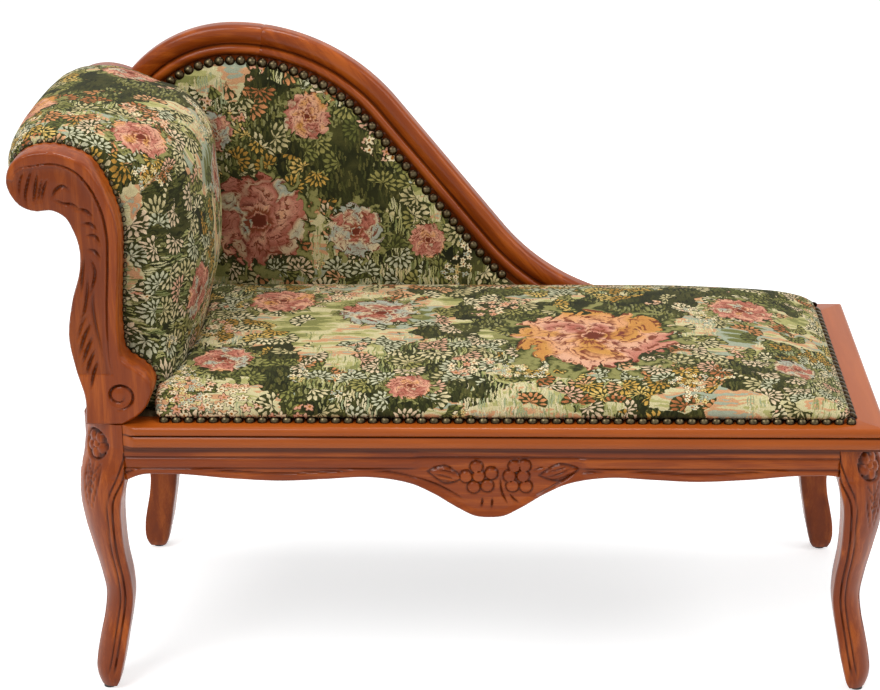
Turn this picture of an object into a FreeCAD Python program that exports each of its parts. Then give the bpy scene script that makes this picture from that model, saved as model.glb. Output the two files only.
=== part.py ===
import FreeCAD, Part
import math
import os

# Chaise longue: carved wooden frame on cabriole legs, upholstered seat, rolled head end and shaped back.
# X runs from the head end to the foot end, Y from front to back, Z up from the floor.

# Overall sizes
overall_length = 1242.0
overall_depth = 544.0
overall_height = 880.0
seat_frame_height = 420.0
overrun = 5.0
joint_clearance = 0.3
arc_steps = 4
corner_steps = 4
crest_arc_steps = 6
flat_bend_share = 0.0001
flatness = 0.001

# Moulded rim on top of the seat frame
rim_height = 35.0
rim_width = 66.0
rim_side_overhang = 10.0
rim_foot_overhang = 3.0
rim_fillet_height = 3.5
rim_fillet_inset = 6.0
rim_lower_bead = 16.5
rim_bead_inset = 4.0
rim_groove_width = 1.5
rim_groove_inset = 7.0
rim_upper_bead_inset = 0.4
rim_upper_bead_mid = 6.5
rim_top_round = 6.5
webbing_rebate_width = 22.0

# Cabriole legs
leg_width = 63.0
glide_height = 4.0
glide_radius = 9.0
scroll_projection = 75.0
# Height, outward shift, width and corner cut of each leg section, as shares
cabriole_shares = [
    (0.000, 0.200, 0.39, 0.60),
    (0.021, 0.195, 0.51, 0.60),
    (0.062, 0.185, 0.62, 0.60),
    (0.108, 0.143, 0.665, 0.60),
    (0.194, 0.048, 0.665, 0.58),
    (0.281, -0.056, 0.65, 0.60),
    (0.365, -0.111, 0.665, 0.64),
    (0.436, -0.076, 0.72, 0.68),
    (0.567, 0.044, 0.80, 0.72),
    (0.667, 0.114, 0.91, 0.74),
    (0.790, 0.135, 1.03, 0.74),
    (0.871, 0.065, 1.13, 0.74),
    (0.934, 0.025, 1.05, 0.80),
    (1.000, 0.000, 1.00, 0.86),
]
corner_bulge_share = 0.16

# Aprons below the rim
apron_thickness = 24.0
apron_height = 46.0
apron_relief = 3.0
apron_lip_height = 11.0
apron_drop = 59.0
apron_drop_shift = 10.0
foot_apron_drop = 26.0
tenon_thickness = 8.0
tenon_length = 14.0
tenon_shoulder = 5.0
head_apron_thickness = 36.0
head_apron_height = 78.0
# Half of the apron's lower edge from its middle outwards: run along it and drop, as shares
apron_edge_shares = [
    (0.000, 1.000),
    (0.035, 0.975),
    (0.085, 0.760),
    (0.150, 0.400),
    (0.210, 0.140),
    (0.265, 0.020),
    (0.330, -0.040),
    (0.450, 0.010),
    (0.570, 0.060),
    (0.700, 0.010),
    (0.880, -0.110),
    (0.960, -0.080),
    (1.000, 0.060),
]

# Corner blocks and their screws
block_leg = 58.0
block_height = 36.0
block_gap = 3.0
screw_radius = 3.0
screw_head_radius = 6.0
screw_head_length = 3.5
screw_bite = 24.0
screw_hole_clearance = 0.2

# Webbing, hessian and covers
webbing_width = 50.0
webbing_thickness = 2.0
hessian_thickness = 1.0
cover_thickness = 2.5
foam_clearance = 0.6
dust_cover_thickness = 1.0
long_strap_count = 4
cross_strap_count = 8
head_strap_count = 4
back_strap_count = 6

# Seat cushion
seat_crown = 58.0
seat_side_margin = 22.0
seat_foot_margin = 38.0
seat_head_run = 44.6
seat_corner_radius = 12.0
seat_side_draw_share = 0.74
seat_foot_draw = 300.0
seat_corner_draw = 37.0
seat_corner_limit_share = 0.8
# Height of each seat section, its draw at the sides and its draw at the foot, as shares
seat_section_shares = [
    (0.000, 0.016, 0.010),
    (0.220, 0.000, 0.000),
    (0.450, 0.024, 0.073),
    (0.620, 0.070, 0.173),
    (0.740, 0.130, 0.273),
    (0.830, 0.216, 0.360),
    (0.900, 0.357, 0.483),
    (0.950, 0.530, 0.633),
    (0.985, 0.757, 0.800),
    (1.000, 1.000, 1.000),
]

# Scrolled end posts of the head
post_thickness = 50.0
post_height = 397.0
post_dowel_setback_share = 0.25
post_dowel_radius = 5.0
post_dowel_length = 40.0
post_dowel_spacing = 24.0
volute_radius = 13.0
volute_groove = 2.5
carved_field_depth = 4.0
# Outline from the foot of the outer edge, round the scroll, to the foot of the inner edge,
# as shares of the scroll's reach and of the post's height
post_outline_shares = [
    (0.370, 0.000), (0.362, 0.093), (0.435, 0.204), (0.486, 0.327), (0.428, 0.461),
    (0.333, 0.579), (0.326, 0.655), (0.377, 0.720), (0.442, 0.763), (0.565, 0.788),
    (0.739, 0.786), (0.862, 0.801), (0.950, 0.835), (1.000, 0.885), (0.949, 0.950),
    (0.841, 0.982), (0.623, 1.000), (0.406, 0.987), (0.225, 0.957), (0.080, 0.884),
    (0.007, 0.819), (-0.043, 0.763), (-0.065, 0.708), (-0.058, 0.617), (-0.022, 0.453),
    (-0.010, 0.340), (-0.051, 0.242), (-0.167, 0.212), (-0.268, 0.181), (-0.319, 0.141),
    (-0.297, 0.101), (-0.225, 0.055), (-0.101, 0.018), (0.000, 0.000),
]
# The lobe of the volute is left off the plain rear post
rear_lobe_limit_share = -0.070
rear_post_foot_shares = [(-0.010, 0.340), (0.000, 0.160), (0.000, 0.000)]
# Edge of the carved field, from the volute up and over the scroll
field_edge_shares = [
    (0.085, 0.235), (0.092, 0.340), (0.080, 0.453), (0.048, 0.600), (0.040, 0.700),
    (0.060, 0.760), (0.115, 0.825), (0.195, 0.880), (0.320, 0.930), (0.500, 0.955),
    (0.720, 0.950), (0.870, 0.915),
]
volute_centre_shares = (0.029, 0.113)

# Rails between the posts
head_rail_thickness = 25.0
head_rail_height = 48.0
head_rail_inset = 28.0
lower_rail_rise = 22.0
neck_rail_rise = 268.0
neck_rail_height = 46.0
rail_tenon_length = 14.0
rail_tenon_shoulder = 4.0
# Roll rail, as shares of the scroll's reach and the post's height
roll_rail_shares = [
    (0.745, 0.826), (0.860, 0.836), (0.890, 0.872), (0.830, 0.932), (0.600, 0.957),
    (0.300, 0.930), (0.110, 0.836), (0.110, 0.801),
]
roll_tongue_shares = [(0.620, 0.850), (0.330, 0.915)]
roll_rail_centre_shares = (0.500, 0.870)
roll_foam_gap = 0.5

# Head cushion, wrapped over the roll and swelling towards the seat
roll_tip_swell = 21.0
head_swell = 103.0
head_places_above_foot_count = 10
crease_gap = 0.8
# Reach share, height share, direction in degrees from straight up and swell share
head_pad_shares = [
    (0.775, 0.793, 190.0, 0.000),
    (0.935, 0.826, -125.0, 0.090),
    (1.000, 0.887, -90.0, 0.204),
    (0.935, 0.957, -50.0, 0.214),
    (0.746, 0.995, -15.0, 0.214),
    (0.428, 0.992, 20.0, 0.240),
    (0.181, 0.937, 50.0, 0.450),
    (0.022, 0.826, 68.0, 0.960),
    (-0.065, 0.705, 82.0, 0.930),
    (-0.043, 0.554, 90.0, 1.000),
    (-0.014, 0.378, 90.0, 0.990),
    (-0.051, 0.260, 90.0, 0.816),
    (-0.319, 0.145, 90.0, 0.320),
    (-0.304, 0.070, 90.0, 0.310),
    (-0.283, 0.001, 90.0, 0.300),
]
# Place across the head and fullness of each section, as shares
head_station_shares = [
    (-1.00, 0.03),
    (-0.95, 0.30),
    (-0.85, 0.57),
    (-0.65, 0.83),
    (-0.35, 0.97),
    (0.00, 1.00),
    (0.35, 0.97),
    (0.65, 0.83),
    (0.85, 0.57),
    (0.95, 0.30),
    (1.00, 0.03),
]
outside_cover_thickness = 2.0
outside_cover_inset = 3.0
outside_cover_place_count = 9
outside_cover_top_share = 0.730

# Crest rail: its outer edge is two arcs over the crown, a straight fall and a hollow foot
crest_thickness = 30.0
crest_face_width = 46.0
crest_rebate_width = 18.0
crest_rebate_depth = 8.0
crest_apex_run = 113.0
crown_end_trim = 40.0
crown_head_radius = 215.6
crown_head_angle = 60.0
crown_foot_radius = 322.0
crest_fall_angle = 51.0
crest_toe_height = 16.5
crest_foot_radius = 330.0
crest_foot_angle = 8.0
crest_joint_angle = 8.0
crest_edge_round = 9.0
crest_band_mid = 14.0
crest_band_width = 28.0
crest_band_fall = 6.0
crest_groove_width = 3.0
crest_groove_depth = 9.0
crest_bead_mid = 38.0
crest_bead_width = 45.0
crest_bead_rise = 1.5
crest_bead_fall = 5.5
spline_length = 30.0
spline_width = 24.0
spline_thickness = 8.0
crest_dowel_radius = 4.0
crest_dowel_length = 40.0
crest_dowel_spacing = 42.0
crest_dowel_count = 2
crest_dowel_setback = 56.0

# Back panel
base_rail_thickness = 20.0
base_rail_height = 44.0
back_panel_run = 12.0
back_panel_lift = 4.0
back_cover_overlap = 4.0
back_crown = 10.0
back_crown_draw = 30.0
back_layer_margin = 2.0
# Rise above the rebate and inward draw of each section of the back cushion, as shares
back_section_shares = [(0.0, 0.00), (0.44, 0.10), (0.72, 0.24), (0.90, 0.52), (1.0, 1.00)]
back_outside_thickness = 2.0
back_outside_overlap = 24.0
back_outside_lap = 21.0

# Places worked out from the sizes
knee_projection = leg_width * max(shift + width / 2 - 0.5 for _, shift, width, _ in cabriole_shares)
foot_end_x = overall_length / 2 - knee_projection + rim_foot_overhang
side_y = overall_depth / 2
seat_side_draw = seat_side_draw_share * (side_y - seat_side_margin)
rim_bottom = seat_frame_height - rim_height
scroll_tip_x = -overall_length / 2 + roll_tip_swell
stump_outer_x = scroll_tip_x + scroll_projection
stump_inner_x = stump_outer_x + leg_width
left_leg_x = stump_outer_x + leg_width / 2
right_leg_x = foot_end_x - rim_foot_overhang - leg_width / 2
right_leg_inner_x = right_leg_x - leg_width / 2
frame_y = side_y - rim_side_overhang
leg_y = frame_y - leg_width / 2
leg_inner_y = frame_y - leg_width
leg_cut_reach = 2 * leg_width
apron_inner_y = frame_y - apron_thickness
foot_apron_inner_x = foot_end_x - rim_foot_overhang - apron_thickness
head_apron_inner_x = stump_outer_x + head_apron_thickness
side_rebate_depth = webbing_thickness + hessian_thickness
end_rebate_depth = 2 * webbing_thickness + hessian_thickness
scroll_reach = stump_inner_x - scroll_tip_x
post_inner_y = frame_y - post_thickness
pad_half_depth = post_inner_y - joint_clearance
head_rail_x = stump_inner_x - head_rail_inset
head_rail_inner_x = head_rail_x + head_rail_thickness
lower_rail_bottom = seat_frame_height + lower_rail_rise
neck_rail_bottom = seat_frame_height + neck_rail_rise
seat_head_x = stump_inner_x + seat_head_run
back_panel_left = stump_inner_x + back_panel_run
crest_apex_x = stump_inner_x + crest_apex_run
pad_back_x = head_rail_inner_x + webbing_thickness + hessian_thickness
crest_front_y = frame_y - crest_thickness
crest_width = crest_face_width + crest_rebate_width
rebate_y = crest_front_y + crest_rebate_depth
crown_head_centre = (crest_apex_x, overall_height - crown_head_radius)
crown_foot_centre = (crest_apex_x, overall_height - crown_foot_radius)
fall_radians = math.radians(crest_fall_angle)
fall_start = (
    crest_apex_x + crown_foot_radius * math.sin(fall_radians),
    overall_height - crown_foot_radius * (1 - math.cos(fall_radians)),
)
crest_foot_rise = crest_foot_radius * (math.cos(math.radians(crest_foot_angle)) - math.cos(fall_radians))
crest_toe_z = seat_frame_height + crest_toe_height
crest_fall_length = (fall_start[1] - crest_foot_rise - crest_toe_z) / math.sin(fall_radians)
fall_end = (
    fall_start[0] + crest_fall_length * math.cos(fall_radians),
    fall_start[1] - crest_fall_length * math.sin(fall_radians),
)
foot_centre = (
    fall_end[0] + crest_foot_radius * math.sin(fall_radians),
    fall_end[1] + crest_foot_radius * math.cos(fall_radians),
)
crest_toe_x = foot_centre[0] - crest_foot_radius * math.sin(math.radians(crest_foot_angle))


def point(x, y, z):
    return FreeCAD.Vector(x, y, z)


def direction_from_up(angle):
    # Unit vector in the X and Z plane, turned from straight up towards the foot end
    return math.sin(math.radians(angle)), math.cos(math.radians(angle))


def line(start, end):
    return Part.LineSegment(start, end).toShape()


def arc(start, middle, end):
    return Part.Arc(start, middle, end).toShape()


def arcs_through(places):
    # Arcs through each three places in turn, and a line where the three lie straight
    edges = []
    for start, middle, end in zip(places[:-2:2], places[1:-1:2], places[2::2]):
        bend = (middle - start).cross(end - middle).Length
        straight = bend < flat_bend_share * (end - start).Length ** 2
        edges.append(line(start, end) if straight else arc(start, middle, end))
    return edges


def smooth_edges(points):
    # Arcs that follow a smooth curve through the points, each over about two spaces between them
    curve = Part.BSplineCurve()
    curve.interpolate(points)
    places = len(points) + 1 - len(points) % 2
    return arcs_through(curve.toShape().discretize(places))


def facet_points(edges):
    # Points along a chain of arcs and lines, as many on each, so that sections of one kind match
    points = []
    for edge in edges:
        points += edge.discretize(arc_steps + 1)[:-1]
    return points + edges[-1].discretize(arc_steps + 1)[-1:]


def polygon_face(points):
    return Part.Face(Part.makePolygon(points + points[:1]))


def flat_faces(a, b, c, d):
    # One face where the four corners lie in a plane, else two triangles across the shorter diagonal
    normal = (b - a).cross(d - a)
    if abs(normal.dot(c - a)) < flatness * normal.Length:
        return [polygon_face([a, b, c, d])]
    if (c - a).Length < (d - b).Length:
        return [polygon_face([a, b, c]), polygon_face([a, c, d])]
    return [polygon_face([a, b, d]), polygon_face([b, c, d])]


def facet_loft(rings):
    # Solid through rings of matching corners, with flat faces from ring to ring
    faces = [polygon_face(rings[0]), polygon_face(rings[-1])]
    for lower, upper in zip(rings, rings[1:]):
        last = len(lower) - 1
        for index in range(len(lower)):
            after = 0 if index == last else index + 1
            faces += flat_faces(lower[index], lower[after], upper[after], upper[index])
    shell = Part.makeShell(faces)
    shell.sewShape()
    solid = Part.Solid(shell)
    if solid.Volume < 0:
        solid.reverse()
    return solid


def box(x0, x1, y0, y1, z0, z1):
    return Part.makeBox(x1 - x0, y1 - y0, z1 - z0, point(x0, y0, z0))


def joined(shapes):
    whole = shapes[0]
    for shape in shapes[1:]:
        whole = whole.fuse(shape)
    return whole.removeSplitter()


def cut_all(shape, tools):
    for tool in tools:
        shape = shape.cut(tool)
    return shape


def save(name, shape):
    if not shape.isValid():
        raise ValueError(name + " is not a valid shape")
    print(name, len(shape.Solids), "solids,", round(shape.Volume), "cubic mm")
    shape.exportStep("parts/" + name + ".step")


# Legs

def leg_section(centre_x, centre_y, side_x, side_y_sign, z, shift, width, cut):
    def place(u, v):
        return point(centre_x + side_x * (shift + u), centre_y + side_y_sign * (shift + v), z)

    half = width / 2
    bulge = half - cut / 2 + corner_bulge_share * cut / math.sqrt(2)
    inner = place(-half, -half)
    side = place(half, -half)
    cut_start = place(half, half - cut)
    cut_middle = place(bulge, bulge)
    cut_end = place(half - cut, half)
    front = place(-half, half)
    rounded = arc(cut_start, cut_middle, cut_end).discretize(corner_steps + 1)
    return [inner, side] + rounded + [front]


def leg(centre_x, side_x, side_y_sign, has_stump):
    centre_y = side_y_sign * leg_y
    leg_height = rim_bottom - glide_height
    sections = []
    for height_share, shift_share, width_share, cut_share in cabriole_shares:
        width = width_share * leg_width
        z = glide_height + height_share * leg_height
        shift = shift_share * leg_width
        section = leg_section(centre_x, centre_y, side_x, side_y_sign, z, shift, width, cut_share * width)
        sections.append(section)
    if has_stump:
        sections.append([corner + point(0, 0, rim_height) for corner in sections[-1]])
    return cut_all(facet_loft(sections), apron_faces(centre_x, side_x, side_y_sign))


def apron_faces(centre_x, side_x, side_y_sign):
    # Flat seats for the aprons on the two inner sides of a leg
    inner_x = centre_x - side_x * leg_width / 2
    inner_y = side_y_sign * leg_inner_y
    deep_x = inner_x - side_x * leg_width
    deep_y = inner_y - side_y_sign * leg_width
    outer_x = inner_x + side_x * leg_cut_reach
    outer_y = inner_y + side_y_sign * leg_cut_reach
    base = rim_bottom - apron_height - overrun
    top = seat_frame_height + overrun
    x0, x1 = min(inner_x, deep_x), max(inner_x, deep_x)
    y0, y1 = min(deep_y, outer_y), max(deep_y, outer_y)
    beside = box(x0, x1, y0, y1, base, top)
    x0, x1 = min(deep_x, outer_x), max(deep_x, outer_x)
    y0, y1 = min(inner_y, deep_y), max(inner_y, deep_y)
    return [beside, box(x0, x1, y0, y1, base, top)]


def glide(centre_x, side_x, side_y_sign):
    shift = cabriole_shares[0][1] * leg_width
    middle = point(centre_x + side_x * shift, side_y_sign * (leg_y + shift), 0)
    return Part.makeCylinder(glide_radius, glide_height, middle)


# Moulded rim

def rim_profile(rebate_depth):
    # Inset from the outer face and height of the moulding, then the webbing rebate
    bead_top = rim_bottom + rim_fillet_height + rim_lower_bead
    groove_top = bead_top + rim_groove_width
    top = seat_frame_height
    floor = top - rebate_depth
    rebate_inset = rim_width - webbing_rebate_width

    def at(inset, z):
        return point(0, inset - side_y, z)

    bead_start = at(rim_bead_inset, rim_bottom + rim_fillet_height)
    bead_end = at(rim_bead_inset, bead_top)
    thumb_start = at(rim_bead_inset, groove_top)
    thumb_end = at(rim_top_round, top)
    corners = [thumb_end, at(rebate_inset, top), at(rebate_inset, floor), at(rim_width, floor)]
    corners += [at(rim_width, rim_bottom), at(rim_fillet_inset, rim_bottom)]
    corners += [at(rim_fillet_inset, rim_bottom + rim_fillet_height), bead_start]
    edges = [line(a, b) for a, b in zip(corners, corners[1:])]
    edges.append(arc(bead_start, at(0, rim_bottom + rim_fillet_height + rim_lower_bead / 2), bead_end))
    groove = [bead_end, at(rim_groove_inset, bead_top), at(rim_groove_inset, groove_top), thumb_start]
    edges += [line(a, b) for a, b in zip(groove, groove[1:])]
    edges.append(arc(thumb_start, at(rim_upper_bead_inset, groove_top + rim_upper_bead_mid), thumb_end))
    return Part.Face(Part.Wire(edges))


def side_rim(sign):
    profile = rim_profile(side_rebate_depth)
    profile.translate(point(stump_inner_x, 0, 0))
    length = foot_end_x - stump_inner_x
    bar = profile.extrude(point(length, 0, 0))
    inner_x = foot_end_x - rim_width
    mitre = polygon_face([
        point(foot_end_x, -side_y, rim_bottom),
        point(foot_end_x, rim_width - side_y, rim_bottom),
        point(inner_x, rim_width - side_y, rim_bottom),
    ]).extrude(point(0, 0, rim_height))
    bar = bar.cut(mitre)
    if sign > 0:
        bar = bar.mirror(point(0, 0, 0), point(0, 1, 0))
    return bar


def foot_rim():
    profile = rim_profile(end_rebate_depth)
    profile.rotate(point(0, 0, 0), point(0, 0, 1), 90)
    profile.translate(point(foot_end_x - side_y, -side_y, 0))
    bar = profile.extrude(point(0, overall_depth, 0))
    inner_x = foot_end_x - rim_width
    for sign in (-1, 1):
        mitre = polygon_face([
            point(foot_end_x, sign * side_y, rim_bottom),
            point(inner_x, sign * (side_y - rim_width), rim_bottom),
            point(inner_x, sign * side_y, rim_bottom),
        ]).extrude(point(0, 0, rim_height))
        bar = bar.cut(mitre)
    return bar


# Aprons

def apron_edge(middle, half_span, drop, base_z, lift):
    # Lower edge of an apron from one end to the other, in its own run and height
    half = [(run * half_span, base_z + lift - fall * drop) for run, fall in apron_edge_shares]
    points = [(middle - run, z) for run, z in reversed(half[1:])] + [(middle + run, z) for run, z in half]
    return points


def shaped_apron(start, end, middle, drop):
    # Board seen from outside: run along X, height along Z, face at Y zero and back at apron_thickness
    half_span = max(end - middle, middle - start)
    base_z = rim_bottom - apron_height
    edge = apron_edge(middle, half_span, drop, base_z, 0)
    lip = apron_edge(middle, half_span, drop, base_z, apron_lip_height)
    back = point(0, apron_thickness, 0)

    def region(lower, top_z, y):
        first = point(lower[0][0], y, lower[0][1])
        last = point(lower[-1][0], y, lower[-1][1])
        edges = smooth_edges([point(x, y, z) for x, z in lower])
        edges.append(line(last, point(last.x, y, top_z)))
        edges.append(line(point(last.x, y, top_z), point(first.x, y, top_z)))
        edges.append(line(point(first.x, y, top_z), first))
        return Part.Face(Part.Wire(edges))

    board = region(edge, rim_bottom, 0).extrude(back)
    field = region(lip, rim_bottom - apron_lip_height, -overrun).extrude(point(0, overrun + apron_relief, 0))
    board = board.cut(field)
    return board.common(box(start, end, 0, apron_thickness, base_z - drop - overrun, rim_bottom))


def tenons(start, end, back_y, top_z, height):
    # Bare-faced tenons flush with the back of a rail that runs along X
    y0 = back_y - tenon_thickness
    z0 = top_z - height + tenon_shoulder
    z1 = top_z - tenon_shoulder
    left = box(start - tenon_length, start, y0, back_y, z0, z1)
    right = box(end, end + tenon_length, y0, back_y, z0, z1)
    return [left, right]


def front_apron():
    start = stump_inner_x + joint_clearance
    end = right_leg_inner_x - joint_clearance
    middle = (start + end) / 2 + apron_drop_shift
    board = shaped_apron(start, end, middle, apron_drop)
    board = joined([board] + tenons(start, end, apron_thickness, rim_bottom, apron_height))
    board.translate(point(0, -frame_y, 0))
    return board


def rear_apron():
    start = stump_inner_x + joint_clearance
    end = right_leg_inner_x - joint_clearance
    board = box(start, end, 0, apron_thickness, rim_bottom - apron_height, rim_bottom)
    board = joined([board] + tenons(start, end, apron_thickness, rim_bottom, apron_height))
    board.rotate(point(0, 0, 0), point(0, 0, 1), 180)
    board.translate(point(start + end, frame_y, 0))
    return board


def foot_apron():
    end = leg_inner_y - joint_clearance
    board = shaped_apron(-end, end, 0, foot_apron_drop)
    board = joined([board] + tenons(-end, end, apron_thickness, rim_bottom, apron_height))
    board.rotate(point(0, 0, 0), point(0, 0, 1), 90)
    board.translate(point(foot_end_x - rim_foot_overhang, 0, 0))
    return board


def head_apron():
    end = leg_inner_y - joint_clearance
    top = seat_frame_height
    board = box(-end, end, 0, head_apron_thickness, top - head_apron_height, top)
    rebate_start = head_apron_thickness - webbing_rebate_width
    rebate = box(-end, end, rebate_start, head_apron_thickness, top - end_rebate_depth, top)
    tongues = tenons(-end, end, head_apron_thickness, rim_bottom, apron_height)
    board = joined([board.cut(rebate)] + tongues)
    board.rotate(point(0, 0, 0), point(0, 0, 1), -90)
    board.translate(point(stump_outer_x, 0, 0))
    return board


def mortises():
    # Slots in the legs for every tenon, a clearance larger all round
    gap = joint_clearance / 2
    z0 = rim_bottom - apron_height + tenon_shoulder - gap
    z1 = rim_bottom - tenon_shoulder + gap
    deep = tenon_length + gap
    slots = []
    for sign in (-1, 1):
        outer = sign * (apron_inner_y + tenon_thickness + gap)
        inner = sign * (apron_inner_y - gap)
        y0, y1 = min(outer, inner), max(outer, inner)
        slots.append(box(stump_inner_x - deep, stump_inner_x + overrun, y0, y1, z0, z1))
        slots.append(box(right_leg_inner_x - overrun, right_leg_inner_x + deep, y0, y1, z0, z1))
        near = sign * (leg_inner_y - overrun)
        far = sign * (leg_inner_y + deep)
        y0, y1 = min(near, far), max(near, far)
        x1 = head_apron_inner_x + gap
        slots.append(box(x1 - tenon_thickness - 2 * gap, x1, y0, y1, z0, z1))
        x0 = foot_apron_inner_x - gap
        slots.append(box(x0, x0 + tenon_thickness + 2 * gap, y0, y1, z0, z1))
    return slots


# Corner blocks and screws

def corner(side_x, side_y_sign):
    # Inner corner of a leg and the inner faces of the two aprons that meet it
    if side_x < 0:
        return stump_inner_x, side_y_sign * leg_inner_y, head_apron_inner_x, side_y_sign * apron_inner_y
    return right_leg_inner_x, side_y_sign * leg_inner_y, foot_apron_inner_x, side_y_sign * apron_inner_y


def corner_screw(side_x, side_y_sign, growth):
    # Screw through the middle of a corner block into the inner corner of the leg
    leg_x, leg_y_inner, apron_x, apron_y = corner(side_x, side_y_sign)
    outward = point(side_x, side_y_sign, 0) / math.sqrt(2)
    start = point(leg_x, leg_y_inner, rim_bottom - apron_height / 2)
    under_head = math.sqrt(2) * block_gap + block_leg / math.sqrt(2)
    tip = start + outward * (screw_bite + growth)
    shank = Part.makeCylinder(screw_radius + growth, screw_bite + under_head + growth, tip, outward * -1)
    head = Part.makeCylinder(screw_head_radius, screw_head_length, start - outward * under_head, outward * -1)
    return joined([shank, head])


def corner_screws(growth):
    return [corner_screw(x, y, growth) for x in (-1, 1) for y in (-1, 1)]


def corner_block(side_x, side_y_sign):
    leg_x, leg_y_inner, apron_x, apron_y = corner(side_x, side_y_sign)
    near_x = leg_x - side_x * block_gap
    near_y = leg_y_inner - side_y_sign * block_gap
    far_x = near_x - side_x * block_leg
    far_y = near_y - side_y_sign * block_leg
    base = rim_bottom - apron_height / 2 - block_height / 2
    outline = [(near_x, apron_y), (far_x, apron_y), (far_x, near_y), (near_x, far_y)]
    outline += [(apron_x, far_y), (apron_x, near_y), (near_x, near_y)]
    face = polygon_face([point(x, y, base) for x, y in outline])
    return face.extrude(point(0, 0, block_height))


# Seat webbing, hessian and cushion

def seat_long_straps():
    start = head_apron_inner_x - webbing_rebate_width + joint_clearance
    end = foot_end_x - rim_width + webbing_rebate_width - joint_clearance
    opening = overall_depth - 2 * rim_width
    z0 = seat_frame_height - end_rebate_depth
    straps = []
    for index in range(long_strap_count):
        middle = opening * ((index + 0.5) / long_strap_count - 0.5)
        y0 = middle - webbing_width / 2
        straps.append(box(start, end, y0, y0 + webbing_width, z0, z0 + webbing_thickness))
    return Part.makeCompound(straps)


def seat_cross_straps():
    half = side_y - rim_width + webbing_rebate_width - joint_clearance
    opening = foot_end_x - rim_width - stump_inner_x
    z0 = seat_frame_height - side_rebate_depth
    straps = []
    for index in range(cross_strap_count):
        middle = stump_inner_x + opening * (index + 0.5) / cross_strap_count
        x0 = middle - webbing_width / 2
        straps.append(box(x0, x0 + webbing_width, -half, half, z0, z0 + webbing_thickness))
    return Part.makeCompound(straps)


def seat_hessian():
    z0 = seat_frame_height - hessian_thickness
    half = side_y - rim_width + webbing_rebate_width - joint_clearance
    start = head_apron_inner_x - webbing_rebate_width + joint_clearance
    end = foot_end_x - rim_width + webbing_rebate_width - joint_clearance
    narrow = leg_inner_y - joint_clearance
    step = stump_inner_x + joint_clearance
    wide_part = box(step, end, -half, half, z0, seat_frame_height)
    narrow_part = box(start, step, -narrow, narrow, z0, seat_frame_height)
    return joined([wide_part, narrow_part])


def rounded_end(x0, x1, half, radius, z):
    # Rectangle as wide as twice half, with its two corners at the foot end rounded
    corner_mid = radius * (1 - math.sqrt(0.5))
    near = arc(point(x1 - radius, -half, z), point(x1 - corner_mid, corner_mid - half, z),
               point(x1, radius - half, z))
    far = arc(point(x1, half - radius, z), point(x1 - corner_mid, half - corner_mid, z),
              point(x1 - radius, half, z))
    head = [point(x0, half, z), point(x0, -half, z)]
    return head + near.discretize(corner_steps + 1) + far.discretize(corner_steps + 1)


def seat_form(inset):
    # Crowned cushion whose sides draw in at the foot and over the top
    sections = []
    for height_share, side_share, foot_share in seat_section_shares:
        side = seat_side_margin + side_share * seat_side_draw + inset
        foot = seat_foot_margin + foot_share * seat_foot_draw + inset
        z = seat_frame_height + height_share * (seat_crown - inset)
        half = side_y - side
        widest_radius = seat_corner_limit_share * half
        radius = min(seat_corner_radius + side_share * seat_corner_draw, widest_radius)
        sections.append(rounded_end(seat_head_x + inset, foot_end_x - foot, half, radius, z))
    return facet_loft(sections)


def seat_notches(growth):
    # Room for the head cushion's foot, for the crest rail's foot and for the back cushion
    top = seat_frame_height + seat_crown + overrun
    base = seat_frame_height - overrun
    panel_end = panel_foot_x(crest_face_width + back_cover_overlap) + overrun + growth
    crest_end = crest_toe_x + overrun + growth
    far_left = seat_head_x - overrun
    crest_y = crest_front_y - joint_clearance - growth
    panel_y = crest_front_y - back_crown - joint_clearance - growth
    behind_crest = box(far_left, crest_end, crest_y, side_y, base, top)
    behind_panel = box(far_left, panel_end, panel_y, side_y, base, top)
    return [behind_crest, behind_panel, head_foot_form(crease_gap + growth)]


def head_foot_form(growth):
    # Lower part of the head cushion, grown by a clearance, which the seat's end fits round
    below = point(0, 0, seat_frame_height - overrun)

    def section(y, fullness):
        places = head_outer_places(y, fullness, -growth)[head_places_above_foot_count:]
        front_foot = point(places[-1].x, y, below.z)
        back_foot = point(stump_inner_x, y, below.z)
        back_top = point(stump_inner_x, y, places[0].z)
        front = facet_points(arcs_through(places))
        return [back_top] + front + [front_foot, back_foot]

    return head_loft(section, joint_clearance + growth)


def seat_cover():
    outer = cut_all(seat_form(0), seat_notches(0))
    return outer.cut(cut_all(seat_form(cover_thickness), seat_notches(cover_thickness)))


def seat_foam():
    inset = cover_thickness + foam_clearance
    return cut_all(seat_form(inset), seat_notches(inset))


def seat_dust_cover():
    half = apron_inner_y - joint_clearance
    narrow = leg_inner_y - joint_clearance
    base = rim_bottom - apron_height
    top = base + dust_cover_thickness
    middle = box(stump_inner_x + joint_clearance, right_leg_inner_x - joint_clearance, -half, half, base, top)
    ends = box(head_apron_inner_x + joint_clearance, foot_apron_inner_x - joint_clearance,
               -narrow, narrow, base, top)
    return joined([middle, ends])


# Scrolled posts, their dowels and the rails between them

def head_place(reach_share, height_share):
    # Place in the plane of the scroll, from shares of its reach and of the post's height
    return stump_inner_x - reach_share * scroll_reach, seat_frame_height + height_share * post_height


def post_blank(shares, y_start, thickness):
    points = [point(x, y_start, z) for x, z in (head_place(*pair) for pair in shares)]
    face = Part.Face(Part.Wire(smooth_edges(points) + [line(points[-1], points[0])]))
    return face.extrude(point(0, thickness, 0))


def rear_outline_shares():
    scroll = [pair for pair in post_outline_shares if pair[0] > rear_lobe_limit_share]
    upper = [pair for pair in scroll if pair[0] > 0 or pair[1] > rear_post_foot_shares[0][1]]
    return [pair for pair in upper[:-1] if pair[1] > 0 or pair[0] > 0] + rear_post_foot_shares


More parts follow.
